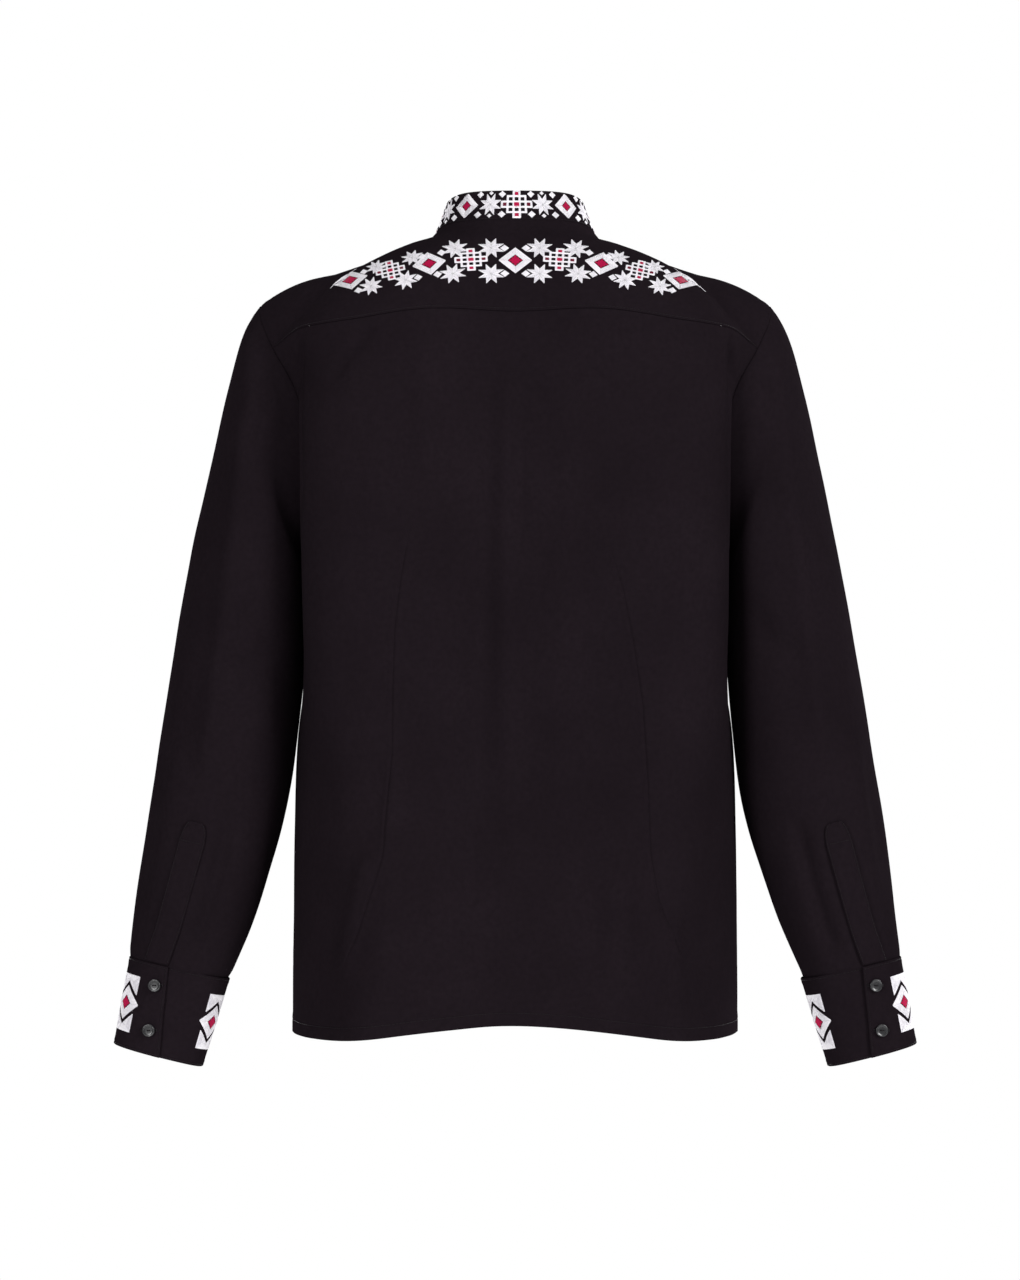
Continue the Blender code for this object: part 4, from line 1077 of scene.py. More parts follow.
def stitches_at(panel, motif, rows, columns):
    """The stitches between pairs of places on a panel's grid."""
    points, normals = surface_at(panel, rows, columns)
    facing = normals[0::2] + normals[1::2]
    facing /= np.linalg.norm(facing, axis=1, keepdims=True)
    tones = np.array([stitch[2] for stitch in motif])
    shades = np.array([stitch[3] for stitch in motif])
    return Stitches(points[0::2], points[1::2], facing, tones, shades)


def laid_on(panel, motif, row, column, axes):
    """A motif's stitches on a panel, its middle at a row and column of the grid.

    axes are the two directions in space that its width and height follow.
    """
    middle = surface_at(panel, np.array([row]), np.array([column]))[0][0]
    wanted = np.array([stitch[:2] for stitch in motif]).reshape(-1, 2)
    rows, columns = np.full(len(wanted), float(row)), np.full(len(wanted), float(column))
    height, width = panel.points.shape[:2]
    for _ in range(9):
        reached, by_row, by_column = (
            (surface_at(panel, rows + over, columns + along)[0] - middle) @ axes.T
            for over, along in ((0, 0), (0.3, 0), (0, 0.3))
        )
        by_row, by_column = (by_row - reached) / 0.3, (by_column - reached) / 0.3
        gap = wanted - reached
        turn = by_row[:, 0] * by_column[:, 1] - by_row[:, 1] * by_column[:, 0]
        change = (gap[:, 0] * by_column[:, 1] - gap[:, 1] * by_column[:, 0]) / turn
        rows = np.clip(rows + np.clip(change, -4, 4), 0, height - 1.4)
        change = (by_row[:, 0] * gap[:, 1] - by_row[:, 1] * gap[:, 0]) / turn
        columns = columns + np.clip(change, -4, 4)
        columns = np.clip(columns, 0, width - 1.4)
    return stitches_at(panel, motif, rows, columns)


def in_corners(motif, x, y):
    """The motif's stitches in four corners, x and y out from the middle."""
    return [
        stitch for right in (-x, x) for up in (-y, y) for stitch in moved(motif, right, up)
    ]


def above_and_below(motif, y):
    """The motif's stitches y below the middle and y above it."""
    return [stitch for up in (-y, y) for stitch in moved(motif, 0, up)]


def together(groups, lift):
    """All groups of stitches as one, raised off the cloth."""
    joined = [np.concatenate(field) for field in zip(*groups)]
    made = Stitches(*joined)
    up = made.facings * lift
    return made._replace(starts=made.starts + up, ends=made.ends + up)


# The yoke's motifs to one side of its middle, by where they lie and how large they look
# from straight behind, and how the band tilts down towards the shoulders.
YokeMotif = namedtuple("YokeMotif", "kind x z width height")
YOKE_MOTIFS = (
    YokeMotif("star", 0.0209, -0.0262, 0.0228, 0.0180),
    YokeMotif("star", 0.0208, -0.0492, 0.0228, 0.0176),
    YokeMotif("lattice", 0.0382, -0.0367, 0.0286, 0.0200),
    YokeMotif("star", 0.0520, -0.0268, 0.0228, 0.0172),
    YokeMotif("star", 0.0538, -0.0494, 0.0230, 0.0170),
    YokeMotif("diamond", 0.0741, -0.0402, 0.0296, 0.0206),
    YokeMotif("star", 0.0888, -0.0345, 0.0200, 0.0135),
    YokeMotif("star", 0.0943, -0.0548, 0.0206, 0.0168),
    YokeMotif("lattice", 0.1076, -0.0457, 0.0258, 0.0178),
    YokeMotif("star", 0.1201, -0.0420, 0.0180, 0.0125),
    YokeMotif("star", 0.1241, -0.0596, 0.0200, 0.0160),
    YokeMotif("diamond", 0.1427, -0.0532, 0.0318, 0.0180),
    YokeMotif("rhomb", 0.0093, -0.0262, 0.0076, 0.0058),
    YokeMotif("rhomb", 0.0090, -0.0490, 0.0076, 0.0058),
    YokeMotif("rhomb", 0.0636, -0.0305, 0.0076, 0.0058),
    YokeMotif("rhomb", 0.0668, -0.0500, 0.0076, 0.0058),
    YokeMotif("rhomb", 0.0799, -0.0336, 0.0070, 0.0050),
    YokeMotif("rhomb", 0.0835, -0.0527, 0.0074, 0.0056),
    YokeMotif("rhomb", 0.1307, -0.0462, 0.0068, 0.0048),
    YokeMotif("rhomb", 0.1350, -0.0632, 0.0074, 0.0054),
)
MIDDLE_DIAMOND = YokeMotif("diamond", 0.0, -0.0372, 0.0292, 0.0232)
MOTIF_MAKERS = {"star": star, "lattice": lattice, "diamond": diamond, "rhomb": rhomb}
BandTilt = namedtuple("BandTilt", "x degrees")
BAND_TILTS = (BandTilt(0.0, 0), BandTilt(0.036, 3), BandTilt(0.075, 10), BandTilt(0.145, 12))


def yoke_place(yoke, x, z):
    """The row and column nearest to where the yoke's back lies at x and z."""
    gap = np.linalg.norm(yoke.points[..., (0, 2)] - (x, z), axis=-1)
    gap[yoke.points[..., 1] < 0.0] += 1.0
    row, column = np.unravel_index(np.argmin(gap), gap.shape)
    off = np.array((x, z)) - yoke.points[row, column, (0, 2)]
    return row, column, off


def yoke_stitches(yoke, spacing):
    """The yoke's embroidery, on its left side and then on its right."""
    groups = []
    for side in (1, -1):
        motifs = YOKE_MOTIFS if side > 0 else (*YOKE_MOTIFS, MIDDLE_DIAMOND)
        for motif in motifs:
            row, column, off = yoke_place(yoke, side * motif.x, motif.z)
            tilts = [place.degrees for place in BAND_TILTS]
            tilt = -side * math.radians(np.interp(motif.x, [place.x for place in BAND_TILTS], tilts))
            axes = np.array(
                ((math.cos(tilt), 0, math.sin(tilt)), (-math.sin(tilt), 0, math.cos(tilt)))
            )
            made = MOTIF_MAKERS[motif.kind](motif.width, motif.height, spacing)
            centred = moved(made, off @ axes[0, (0, 2)], off @ axes[1, (0, 2)])
            groups.append(laid_on(yoke, centred, row, column, axes))
    return groups


MotifSize = namedtuple("MotifSize", "width height")

COLLAR_TILE = 0.0460  # from one lattice to the next diamond
COLLAR_BAND_MIDDLE = 0.0142  # up from the collar's foot
COLLAR_BAND_CLEAR = 0.010  # kept free of motifs at the front edges
COLLAR_STAR = MotifSize(0.0196, 0.0208)
COLLAR_DIAMOND = MotifSize(0.0232, 0.0240)
COLLAR_LATTICE = MotifSize(0.0274, 0.0268)
COLLAR_CORNER_RHOMB = MotifSize(0.0066, 0.0064)
COLLAR_EDGE_RHOMB = MotifSize(0.0040, 0.0040)


def collar_stitches(collar, spacing):
    """Motifs round the collar, from the middle of the back to the front edges."""
    middle_row = int(np.argmin(np.abs(from_edge(collar.points, "low").mean(axis=1) - COLLAR_BAND_MIDDLE)))
    line = collar.points[middle_row]
    run = run_along(line)
    centre = run[int(np.argmin(np.abs(line[:, 0]) + (line[:, 1] < 0)))]
    groups = []
    for number in range(-10, 11):
        place = centre + number * COLLAR_TILE / 2
        if not run[0] + COLLAR_BAND_CLEAR < place < run[-1] - COLLAR_BAND_CLEAR:
            continue
        column = np.interp(place, run, range(len(run)))
        if number % 2:
            made = star(*COLLAR_STAR, spacing)
            made += in_corners(rhomb(*COLLAR_CORNER_RHOMB, spacing), 0.0103, 0.0096)
            made += above_and_below(rhomb(*COLLAR_EDGE_RHOMB, spacing), 0.0108)
        elif number % 4:
            made = diamond(*COLLAR_DIAMOND, spacing, 0.42)
        else:
            made = lattice(*COLLAR_LATTICE, spacing)
        groups.append(rolled_on(collar, made, float(middle_row), column))
    return groups


CUFF_BAND_DEG = (49.5, -223.6)  # where the cuff's embroidery starts and ends round the ring
CUFF_BAND_HEIGHT = 0.0495
CUFF_ORDER = (("diamond", 0.95), ("star", 1.0), ("lattice", 1.05), ("star", 1.0), ("diamond", 0.95))
CUFF_BAND_MIDDLE = 0.0400  # in from the cuff's low edge
CUFF_DIAMOND = MotifSize(0.0310, 0.0300)
CUFF_TRIANGLE = MotifSize(0.0174, 0.0168)
CUFF_CORNER_RHOMB = MotifSize(0.0085, 0.0085)
CUFF_EDGE_RHOMB = MotifSize(0.0055, 0.0055)
CUFF_LATTICE_RHOMB = MotifSize(0.0065, 0.0055)
CUFF_STAR_HEIGHT = 0.0350
CUFF_LATTICE_HEIGHT = 0.0400
CUFF_DIAMOND_PAST = 0.0038  # how far its outer corner stands past the band's end


def cuff_stitches(cuff, spacing):
    """Motifs round the cuff, from beside the buttons over the outer side and the front."""
    down = from_edge(cuff.points, "low").mean(axis=1)
    row = float(np.interp(CUFF_BAND_MIDDLE, down, range(len(down))))
    line = cuff.points[int(row)]
    run = run_along(line)
    turns = (360 + CUFF_UNDERLAP_DEG) * spaced(0.262, 0.0022) / 0.262
    start = sum(CUFF_EDGE_DEG) / 2
    first, last = (np.interp(start - degrees, turns, run) for degrees in CUFF_BAND_DEG)
    shares = np.cumsum([0] + [share for _, share in CUFF_ORDER])
    edges = first + (last - first) * shares / shares[-1]
    groups = []
    for number, (kind, _) in enumerate(CUFF_ORDER):
        place = (edges[number] + edges[number + 1]) / 2
        tile = edges[number + 1] - edges[number]
        if kind == "diamond":
            inset = CUFF_DIAMOND.width / 2 - CUFF_DIAMOND_PAST
            place = first + inset if number == 0 else last - inset
            made = diamond(*CUFF_DIAMOND, spacing, 0.44)
            for right in (-1, 1):
                for up in (-1, 1):
                    piece = corner_triangle(right, up, *CUFF_TRIANGLE, spacing)
                    made += moved(piece, right * inset, up * CUFF_BAND_HEIGHT / 2)
        elif kind == "star":
            made = star(tile * 0.94, CUFF_STAR_HEIGHT, spacing)
            made += in_corners(rhomb(*CUFF_CORNER_RHOMB, spacing), 0.30 * tile, 0.0212)
            made += above_and_below(rhomb(*CUFF_EDGE_RHOMB, spacing), 0.0228)
        else:
            made = lattice(tile * 0.96, CUFF_LATTICE_HEIGHT, spacing)
            for y in (-0.0228, 0.0228):
                for x in (-0.0100, 0.0100):
                    made += moved(rhomb(*CUFF_LATTICE_RHOMB, spacing), x, y)
        column = float(np.interp(place, run, range(len(run))))
        groups.append(rolled_on(cuff, made, row, column))
    return groups


# ---------------------------------------------------------------- lines of stitches


def edge_line(panel, edge, distance):
    """The line on a panel at a distance from one edge: its points and how they face."""
    apart = from_edge(panel.points, edge)
    points, normals = panel.points, panel.normals
    if edge in ("low", "high"):
        apart = apart.T
        points, normals = np.swapaxes(points, 0, 1), np.swapaxes(normals, 0, 1)
    if edge in ("high", "right"):
        apart, points, normals = apart[:, ::-1], points[:, ::-1], normals[:, ::-1]
    found = []
    for field in (points, normals):
        lines = [
            [np.interp(distance, gaps, values[:, axis]) for axis in range(3)]
            for gaps, values in zip(apart, field)
        ]
        found.append(np.array(lines))
    return found


def running(points, normals, length=0.0025, gap=0.0006, trim=(0.0, 0.0), tone=BLACK):
    """A line of topstitching along points that face their normals."""
    run = run_along(points)
    starts = np.arange(trim[0], run[-1] - trim[1] - length, length + gap)
    ends = starts + length

    def at(places, field):
        return np.stack([np.interp(places, run, field[:, axis]) for axis in range(3)], axis=-1)

    facing = at((starts + ends) / 2, normals)
    facing /= np.linalg.norm(facing, axis=1, keepdims=True)
    count = len(starts)
    tones = np.full(count, tone)
    return Stitches(at(starts, points), at(ends, points), facing, tones, np.ones(count))


# ---------------------------------------------------------------- the worked panels


@lru_cache
def back_panel(depth):
    grid, columns = along_lines(back_form(0.0045), (RIGHT_DART, LEFT_DART))
    edges = {
        "low": (HEM, False), "high": (UNDER_SEAM, True),
        "left": (PLAIN_SEAM, True), "right": (PLAIN_SEAM, True),
    }
    panel = worked_panel(grid, -1, edges, BACK_CREASES, uneven=0.0010, seed=3.1, depth=depth)
    height = sum(
        dart_height(panel.points, column, line)
        for column, line in zip(columns, (RIGHT_DART, LEFT_DART))
    )
    points = panel.points + panel.normals * height[..., None]
    return panel._replace(points=points, normals=facings(points, -1))


@lru_cache
def front_panel(left, depth):
    grid = front_form(left, 0.0050)
    sign = 1 if left else -1
    edges = {
        "low": (HEM, False), "high": (UNDER_SEAM, True),
        "left": (BAND_EDGE, False), "right": (PLAIN_SEAM, True),
    }
    seed = 7.7 if left else 9.2
    return worked_panel(grid, sign, edges, FRONT_CREASES, uneven=0.0010, seed=seed, depth=depth)


@lru_cache
def yoke_panel(depth):
    grid = yoke_form(YOKE_STEP)
    edges = {
        "low": (LAPPED_SEAM, True), "high": (LAPPED_SEAM, True),
        "left": (PLAIN_SEAM, True), "right": (LAPPED_SEAM, True),
    }
    return worked_panel(grid, -1, edges, YOKE_CREASES, uneven=0.0006, seed=5.5, depth=depth)


@lru_cache
def sleeve_panel(left, depth):
    grid = sleeve_form(0.0045)
    creases = LEFT_SLEEVE_CREASES if left else RIGHT_SLEEVE_CREASES
    sign = -1
    if not left:
        grid, sign = mirrored(grid), 1
    edges = {"low": (PLAIN_SEAM, True), "high": (UNDER_SEAM, True)}
    seed = 2.4 if left else 6.3
    return worked_panel(grid, sign, edges, creases, True, uneven=0.0011, seed=seed, depth=depth)


def mirrored_panel(panel):
    return PanelGrid(mirrored(panel.points), mirrored(panel.normals), panel.closed, -panel.sign)


@lru_cache
def cuff_panel(left):
    if not left:
        return mirrored_panel(cuff_panel(True))
    edges = dict.fromkeys(("low", "high", "left", "right"), (BAND_EDGE, False))
    return worked_panel(cuff_form(0.0022), 1, edges)


@lru_cache
def placket_panel(left):
    if not left:
        return mirrored_panel(placket_panel(True))
    edges = dict.fromkeys(("left", "right", "low"), (BAND_EDGE, False))
    return worked_panel(placket_form(0.0030), 1, edges)


@lru_cache
def collar_panel():
    edges = {
        "low": (PLAIN_SEAM, False), "high": (BAND_EDGE, False),
        "left": (BAND_EDGE, False), "right": (BAND_EDGE, False),
    }
    return worked_panel(collar_form(0.0022), -1, edges)


def cut_of(panel):
    """The width and length that a panel's cloth lies flat to, to the nearest 5 mm."""
    wide = panel.points
    if panel.closed:
        wide = np.concatenate([wide, wide[:, :1]], axis=1)
    across = np.linalg.norm(np.diff(wide, axis=1), axis=-1).sum(axis=1).max()
    down = np.linalg.norm(np.diff(panel.points, axis=0), axis=-1).sum(axis=0).max()
    return math.ceil(across * 200) / 200, math.ceil(down * 200) / 200


def cloth_piece(node, panel, wall, material, slot):
    piece = cloth_object(node + "_cloth", panel, wall, material)
    declare(piece, node, slot, *cut_of(panel))
    return piece


# ---------------------------------------------------------------- finishes


def plain_material(name, colour, roughness):
    """A new material; its own shader, ready for its pattern to be linked in."""
    material = bpy.data.materials.new(name)
    material.use_nodes = True
    shader = material.node_tree.nodes["Principled BSDF"]
    shader.inputs["Base Color"].default_value = (*colour, 1.0)
    shader.inputs["Roughness"].default_value = roughness
    material.diffuse_color = (*colour, 1.0)
    return material, material.node_tree, shader


def mixed_tones(tree, factor, low, high):
    """A colour that runs from the low tone to the high one by a factor."""
    blend = tree.nodes.new("ShaderNodeMix")
    blend.data_type = "RGBA"
    tree.links.new(factor, blend.inputs["Factor"])
    blend.inputs[6].default_value = (*low, 1.0)
    blend.inputs[7].default_value = (*high, 1.0)
    return blend.outputs[2]


def noise_of(tree, vector, scale, detail=3.0):
    node = tree.nodes.new("ShaderNodeTexNoise")
    node.inputs["Scale"].default_value = scale
    node.inputs["Detail"].default_value = detail
    tree.links.new(vector, node.inputs["Vector"])
    return node.outputs["Fac"]


def between(tree, value, low, high):
    """A 0 to 1 value spread between two others."""
    spread = tree.nodes.new("ShaderNodeMapRange")
    tree.links.new(value, spread.inputs["Value"])
    spread.inputs["To Min"].default_value = low
    spread.inputs["To Max"].default_value = high
    return spread.outputs["Result"]


def woven_material(name, colour, thread_pitch, roughness, sheen):
    """Matt woven cloth: a twill of fine threads, uneven yarn and softly varied tone."""
    material, tree, shader = plain_material(name, colour, roughness)
    nodes, links = tree.nodes, tree.links
    flat = nodes.new("ShaderNodeUVMap")
    flat.uv_map = "cloth"
    place = nodes.new("ShaderNodeTexCoord").outputs["Object"]
    waves = []
    for turn in (45.0, -45.0):
        mapping = nodes.new("ShaderNodeMapping")
        mapping.inputs["Rotation"].default_value[2] = math.radians(turn)
        links.new(flat.outputs["UV"], mapping.inputs["Vector"])
        wave = nodes.new("ShaderNodeTexWave")
        wave.inputs["Scale"].default_value = 0.31416 / thread_pitch
        wave.inputs["Distortion"].default_value = 0.6
        wave.inputs["Detail Scale"].default_value = 400.0
        links.new(mapping.outputs["Vector"], wave.inputs["Vector"])
        waves.append(wave.outputs["Fac"])
    twill = nodes.new("ShaderNodeMath")
    twill.operation = "MULTIPLY_ADD"
    links.new(waves[0], twill.inputs[0])
    links.new(waves[1], twill.inputs[1])
    links.new(noise_of(tree, place, 900.0, 2.0), twill.inputs[2])
    worn = noise_of(tree, place, 11.0, 4.0)
    dark = tuple(value * 0.72 for value in colour)
    light = tuple(min(1.0, value * 1.35) for value in colour)
    slub = noise_of(tree, place, 260.0, 3.0)
    both = nodes.new("ShaderNodeMath")
    both.operation = "MULTIPLY"
    links.new(between(tree, worn, 0.3, 1.5), both.inputs[0])
    links.new(between(tree, slub, 0.3, 1.2), both.inputs[1])
    links.new(mixed_tones(tree, both.outputs[0], dark, light), shader.inputs["Base Color"])
    links.new(between(tree, slub, roughness - 0.08, roughness + 0.10), shader.inputs["Roughness"])
    shader.inputs["Sheen Weight"].default_value = sheen
    shader.inputs["Sheen Roughness"].default_value = 0.45
    shader.inputs["Specular IOR Level"].default_value = 0.0
    bump = nodes.new("ShaderNodeBump")
    bump.inputs["Strength"].default_value = 0.35
    bump.inputs["Distance"].default_value = 0.00012
    links.new(twill.outputs[0], bump.inputs["Height"])
    links.new(bump.outputs["Normal"], shader.inputs["Normal"])
    return material


def thread_material(name, colour, roughness, sheen):
    """Twisted embroidery thread, each stitch darkened by its own painted shade and by random patches of
    tone.
    """
    material, tree, shader = plain_material(name, colour, roughness)
    nodes, links = tree.nodes, tree.links
    shade = nodes.new("ShaderNodeAttribute")
    shade.attribute_name = "shade"
    place = nodes.new("ShaderNodeTexCoord").outputs["Object"]
    fibres = noise_of(tree, place, 2600.0, 2.0)
    patch = noise_of(tree, place, 180.0, 2.0)
    # Painted shade: the stitch's shade value, times random patches of tone, darkens the thread towards a
    # lilac grey, standing in for the satin's sheen by stitch direction.
    varied = nodes.new("ShaderNodeMath")
    varied.operation = "MULTIPLY"
    links.new(shade.outputs["Fac"], varied.inputs[0])
    links.new(between(tree, patch, 0.72, 1.14), varied.inputs[1])
    dark = tuple(value * amount for value, amount in zip(colour, (0.42, 0.40, 0.50)))
    tint = mixed_tones(tree, varied.outputs[0], dark, colour)
    links.new(tint, shader.inputs["Base Color"])
    links.new(between(tree, fibres, roughness - 0.1, roughness + 0.12), shader.inputs["Roughness"])
    shader.inputs["Sheen Weight"].default_value = sheen
    shader.inputs["Specular IOR Level"].default_value = 0.14
    bump = nodes.new("ShaderNodeBump")
    bump.inputs["Strength"].default_value = 0.3
    bump.inputs["Distance"].default_value = 0.00005
    links.new(fibres, bump.inputs["Height"])
    links.new(bump.outputs["Normal"], shader.inputs["Normal"])
    return material


def gloss_material(name, colour):
    """Polished black resin with faint handling marks."""
    material, tree, shader = plain_material(name, colour, 0.3)
    place = tree.nodes.new("ShaderNodeTexCoord").outputs["Object"]
    marks = noise_of(tree, place, 420.0, 4.0)
    tree.links.new(between(tree, marks, 0.24, 0.40), shader.inputs["Roughness"])
    light = tuple(value * 1.8 for value in colour)
    clouded = mixed_tones(tree, noise_of(tree, place, 130.0, 2.0), colour, light)
    tree.links.new(clouded, shader.inputs["Base Color"])
    shader.inputs["Coat Weight"].default_value = 0.25
    shader.inputs["Coat Roughness"].default_value = 0.16
    shader.inputs["IOR"].default_value = 1.52
    bump = tree.nodes.new("ShaderNodeBump")
    bump.inputs["Strength"].default_value = 0.05
    bump.inputs["Distance"].default_value = 0.0001
    tree.links.new(marks, bump.inputs["Height"])
    tree.links.new(bump.outputs["Normal"], shader.inputs["Normal"])
    return material


def finish_named(name, make):
    """The material of that name, made the first time it is asked for."""
    return bpy.data.materials.get(name) or make()


def cloth_finish(looks):
    return finish_named(
        "shirt_twill", lambda: woven_material("shirt_twill", looks.cloth, 0.0007, 0.70, 0.002)
    )


def band_finish(looks):
    return finish_named(
        "band_twill",
        lambda: woven_material("band_twill", looks.cloth, 0.0009, 0.72, 0.002),
    )


def thread_finishes(looks):
    """The four threads' materials by tone."""
    colours = {
        WHITE: ("white_thread", looks.white, 0.50),
        CRIMSON: ("crimson_thread", looks.crimson, 0.48),
        WINE: ("wine_thread", looks.wine, 0.50),
        BLACK: ("black_thread", looks.cloth, 0.55),
    }
    return {
        tone: finish_named(name, lambda: thread_material(name, colour, roughness, 0.01))
        for tone, (name, colour, roughness) in colours.items()
    }


# ---------------------------------------------------------------- buttons

BUTTON_RADIUS = 0.0055
BUTTON_THICKNESS = 0.0024
BUTTON_STANDOFF = 0.0008
HOLE_RADIUS = 0.0007
HOLE_REACH = 0.0012
FRONT_BUTTON_HEIGHTS = np.linspace(-0.118, -0.598, 7)
CUFF_BUTTONS = ((0.23, 71.8), (0.73, 76.5))
# The button's outline: shares of its radius and of its thickness.
BUTTON_PROFILE = (
    (0.0, 0.78), (0.40, 0.78), (0.58, 0.79), (0.68, 0.83), (0.76, 0.92), (0.83, 0.98),
    (0.89, 1.00), (0.95, 0.94), (0.99, 0.82), (1.00, 0.68), (0.985, 0.40), (0.93, 0.16),
    (0.80, 0.03), (0.66, 0.0), (0.0, 0.0),
)


def turned_mesh(name, profile, steps):
    """A closed turned form from shares of radius and height, given from top to bottom."""
    shape = bmesh.new()
    line = [shape.verts.new((across * BUTTON_RADIUS, 0, up * BUTTON_THICKNESS)) for across, up in profile]
    edges = [shape.edges.new(pair) for pair in zip(line, line[1:])]
    bmesh.ops.spin(
        shape, geom=line + edges, axis=(0, 0, 1), cent=(0, 0, 0), angle=math.tau, steps=steps
    )
    bmesh.ops.remove_doubles(shape, verts=shape.verts, dist=1e-6)
    bmesh.ops.recalc_face_normals(shape, faces=shape.faces)
    mesh = bpy.data.meshes.new(name)
    shape.to_mesh(mesh)
    shape.free()
    return mesh


def drilled_button():
    """The button's mesh, lying on its back with its face up, with its two holes."""
    blank = link(bpy.data.objects.new("button_blank", turned_mesh("button_blank", BUTTON_PROFILE, 48)))
    drills = []
    wide = HOLE_RADIUS / BUTTON_RADIUS
    for side in (-1, 1):
        rod = turned_mesh("drill", ((0, 2.0), (wide, 2.0), (wide, -1.0), (0, -1.0)), 16)
        rod.transform(Matrix.Translation((side * HOLE_REACH, 0, 0)))
        drills.append(link(bpy.data.objects.new("drill", rod)))
        cut = blank.modifiers.new("hole", "BOOLEAN")
        cut.operation = "DIFFERENCE"
        cut.solver = "EXACT"
        cut.object = drills[-1]
    bpy.context.view_layer.update()
    evaluated = blank.evaluated_get(bpy.context.evaluated_depsgraph_get())
    mesh = bpy.data.meshes.new_from_object(evaluated)
    for leftover in (blank, *drills):
        bpy.data.objects.remove(leftover)
    mesh.shade_smooth()
    mesh.set_sharp_from_angle(angle=math.radians(38))
    return mesh


def lie_on(point, facing, spin_deg=0.0):
    """The place of something that lies on the cloth at a point and faces outwards."""
    turn = Vector(facing).normalized().to_track_quat("Z", "Y").to_matrix().to_4x4()
    lifted = Vector(point) + Vector(facing).normalized() * BUTTON_STANDOFF
    spin = Matrix.Rotation(math.radians(spin_deg), 4, "Z")
    return Matrix.Translation(lifted) @ turn @ spin


def front_button_line():
    """Where the front buttons lie and face: evenly down the middle of the right front."""
    panel = front_panel(False, 0.0)
    middle = int(np.argmin(np.abs(panel.points[0, :, 0])))
    levels = panel.points[:, middle]
    found = []
    for height in FRONT_BUTTON_HEIGHTS:
        y, above, below = (
            np.interp(height + step, levels[:, 2], levels[:, 1]) for step in (0, 0.01, -0.01)
        )
        found.append((Vector((0, y, height)), Vector((0, -0.02, above - below)).normalized()))
    return found


def cuff_button_place(share, degrees):
    """A place on the left cuff's outer surface and the way it faces there."""
    rows = [ring_points(row, [degrees - 3, degrees, degrees + 3]) for row in CUFF_ROWS]
    last = len(CUFF_ROWS) - 1
    above, here, below = through(rows, [share * last - 0.05, share * last, share * last + 0.05])
    normal = np.cross(below[1] - above[1], here[2] - here[0])
    return Vector(here[1]), Vector(normal).normalized()


def collar_button_place():
    front = neck_point(180)
    middle = front + (0, 0.5 * COLLAR_LEAN * (1 - COLLAR_UPRIGHT), 0.5 * COLLAR_HEIGHT * (1 - COLLAR_LOWER))
    rise = Vector(middle - front)
    return Vector(middle), Vector((0, -rise.z, rise.y)).normalized()


def button_places():
    """Every button's node with its place matrix."""
    places = {}
    for number, (point, facing) in enumerate(front_button_line(), start=1):
        places[f"front_button_{number}"] = lie_on(point, facing, 90)
    places["collar_button"] = lie_on(*collar_button_place())
    for number, place in enumerate(CUFF_BUTTONS, start=1):
        point, facing = cuff_button_place(*place)
        places[f"cuff_button_left_{number}"] = lie_on(point, facing)
        for value in (point, facing):
            value.x = -value.x
        places[f"cuff_button_right_{number}"] = lie_on(point, facing)
    return places


def black_stitches(starts, ends, facing):
    """Black stitches that all face one way."""
    count = len(starts)
    facings_all = np.repeat(np.array(facing)[None], count, axis=0)
    return Stitches(
        np.array(starts), np.array(ends), facings_all, np.full(count, BLACK), np.ones(count)
    )


def sewn_threads(place):
    """The threads that hold one button, over its face from hole to hole."""
    face = BUTTON_THICKNESS * BUTTON_PROFILE[0][1]
    starts, ends = [], []
    for aside in (-0.00028, 0.0, 0.00028):
        starts.append(place @ Vector((-HOLE_REACH, aside, face)))
        ends.append(place @ Vector((HOLE_REACH, aside, face)))
    return black_stitches(starts, ends, place.col[2][:3])


def buttonhole(place, panel_up, length=0.0135, width=0.0011):
    """Two close rows of stitches along a slit, with a bar at each end, about a place."""
    origin = place.translation - place.col[2].to_3d() * (BUTTON_STANDOFF * 0.6)
    facing = place.col[2].to_3d().normalized()
    along = Vector(panel_up)
    along = (along - facing * along.dot(facing)).normalized()
    across = facing.cross(along)
    starts, ends = [], []
    for side in (-1, 1):
        for share in np.linspace(-0.5, 0.5, round(length / 0.0005)):
            middle = origin + along * (share * length)
            starts.append(middle + across * (side * 0.00025))
            ends.append(middle + across * (side * width))
    for end in (-1, 1):
        for share in np.linspace(-1, 1, 6):
            middle = origin + across * (share * width) + along * (end * length * 0.5)
            starts.append(middle - along * 0.0005)
            ends.append(middle + along * 0.0005)
    return black_stitches(starts, ends, facing)


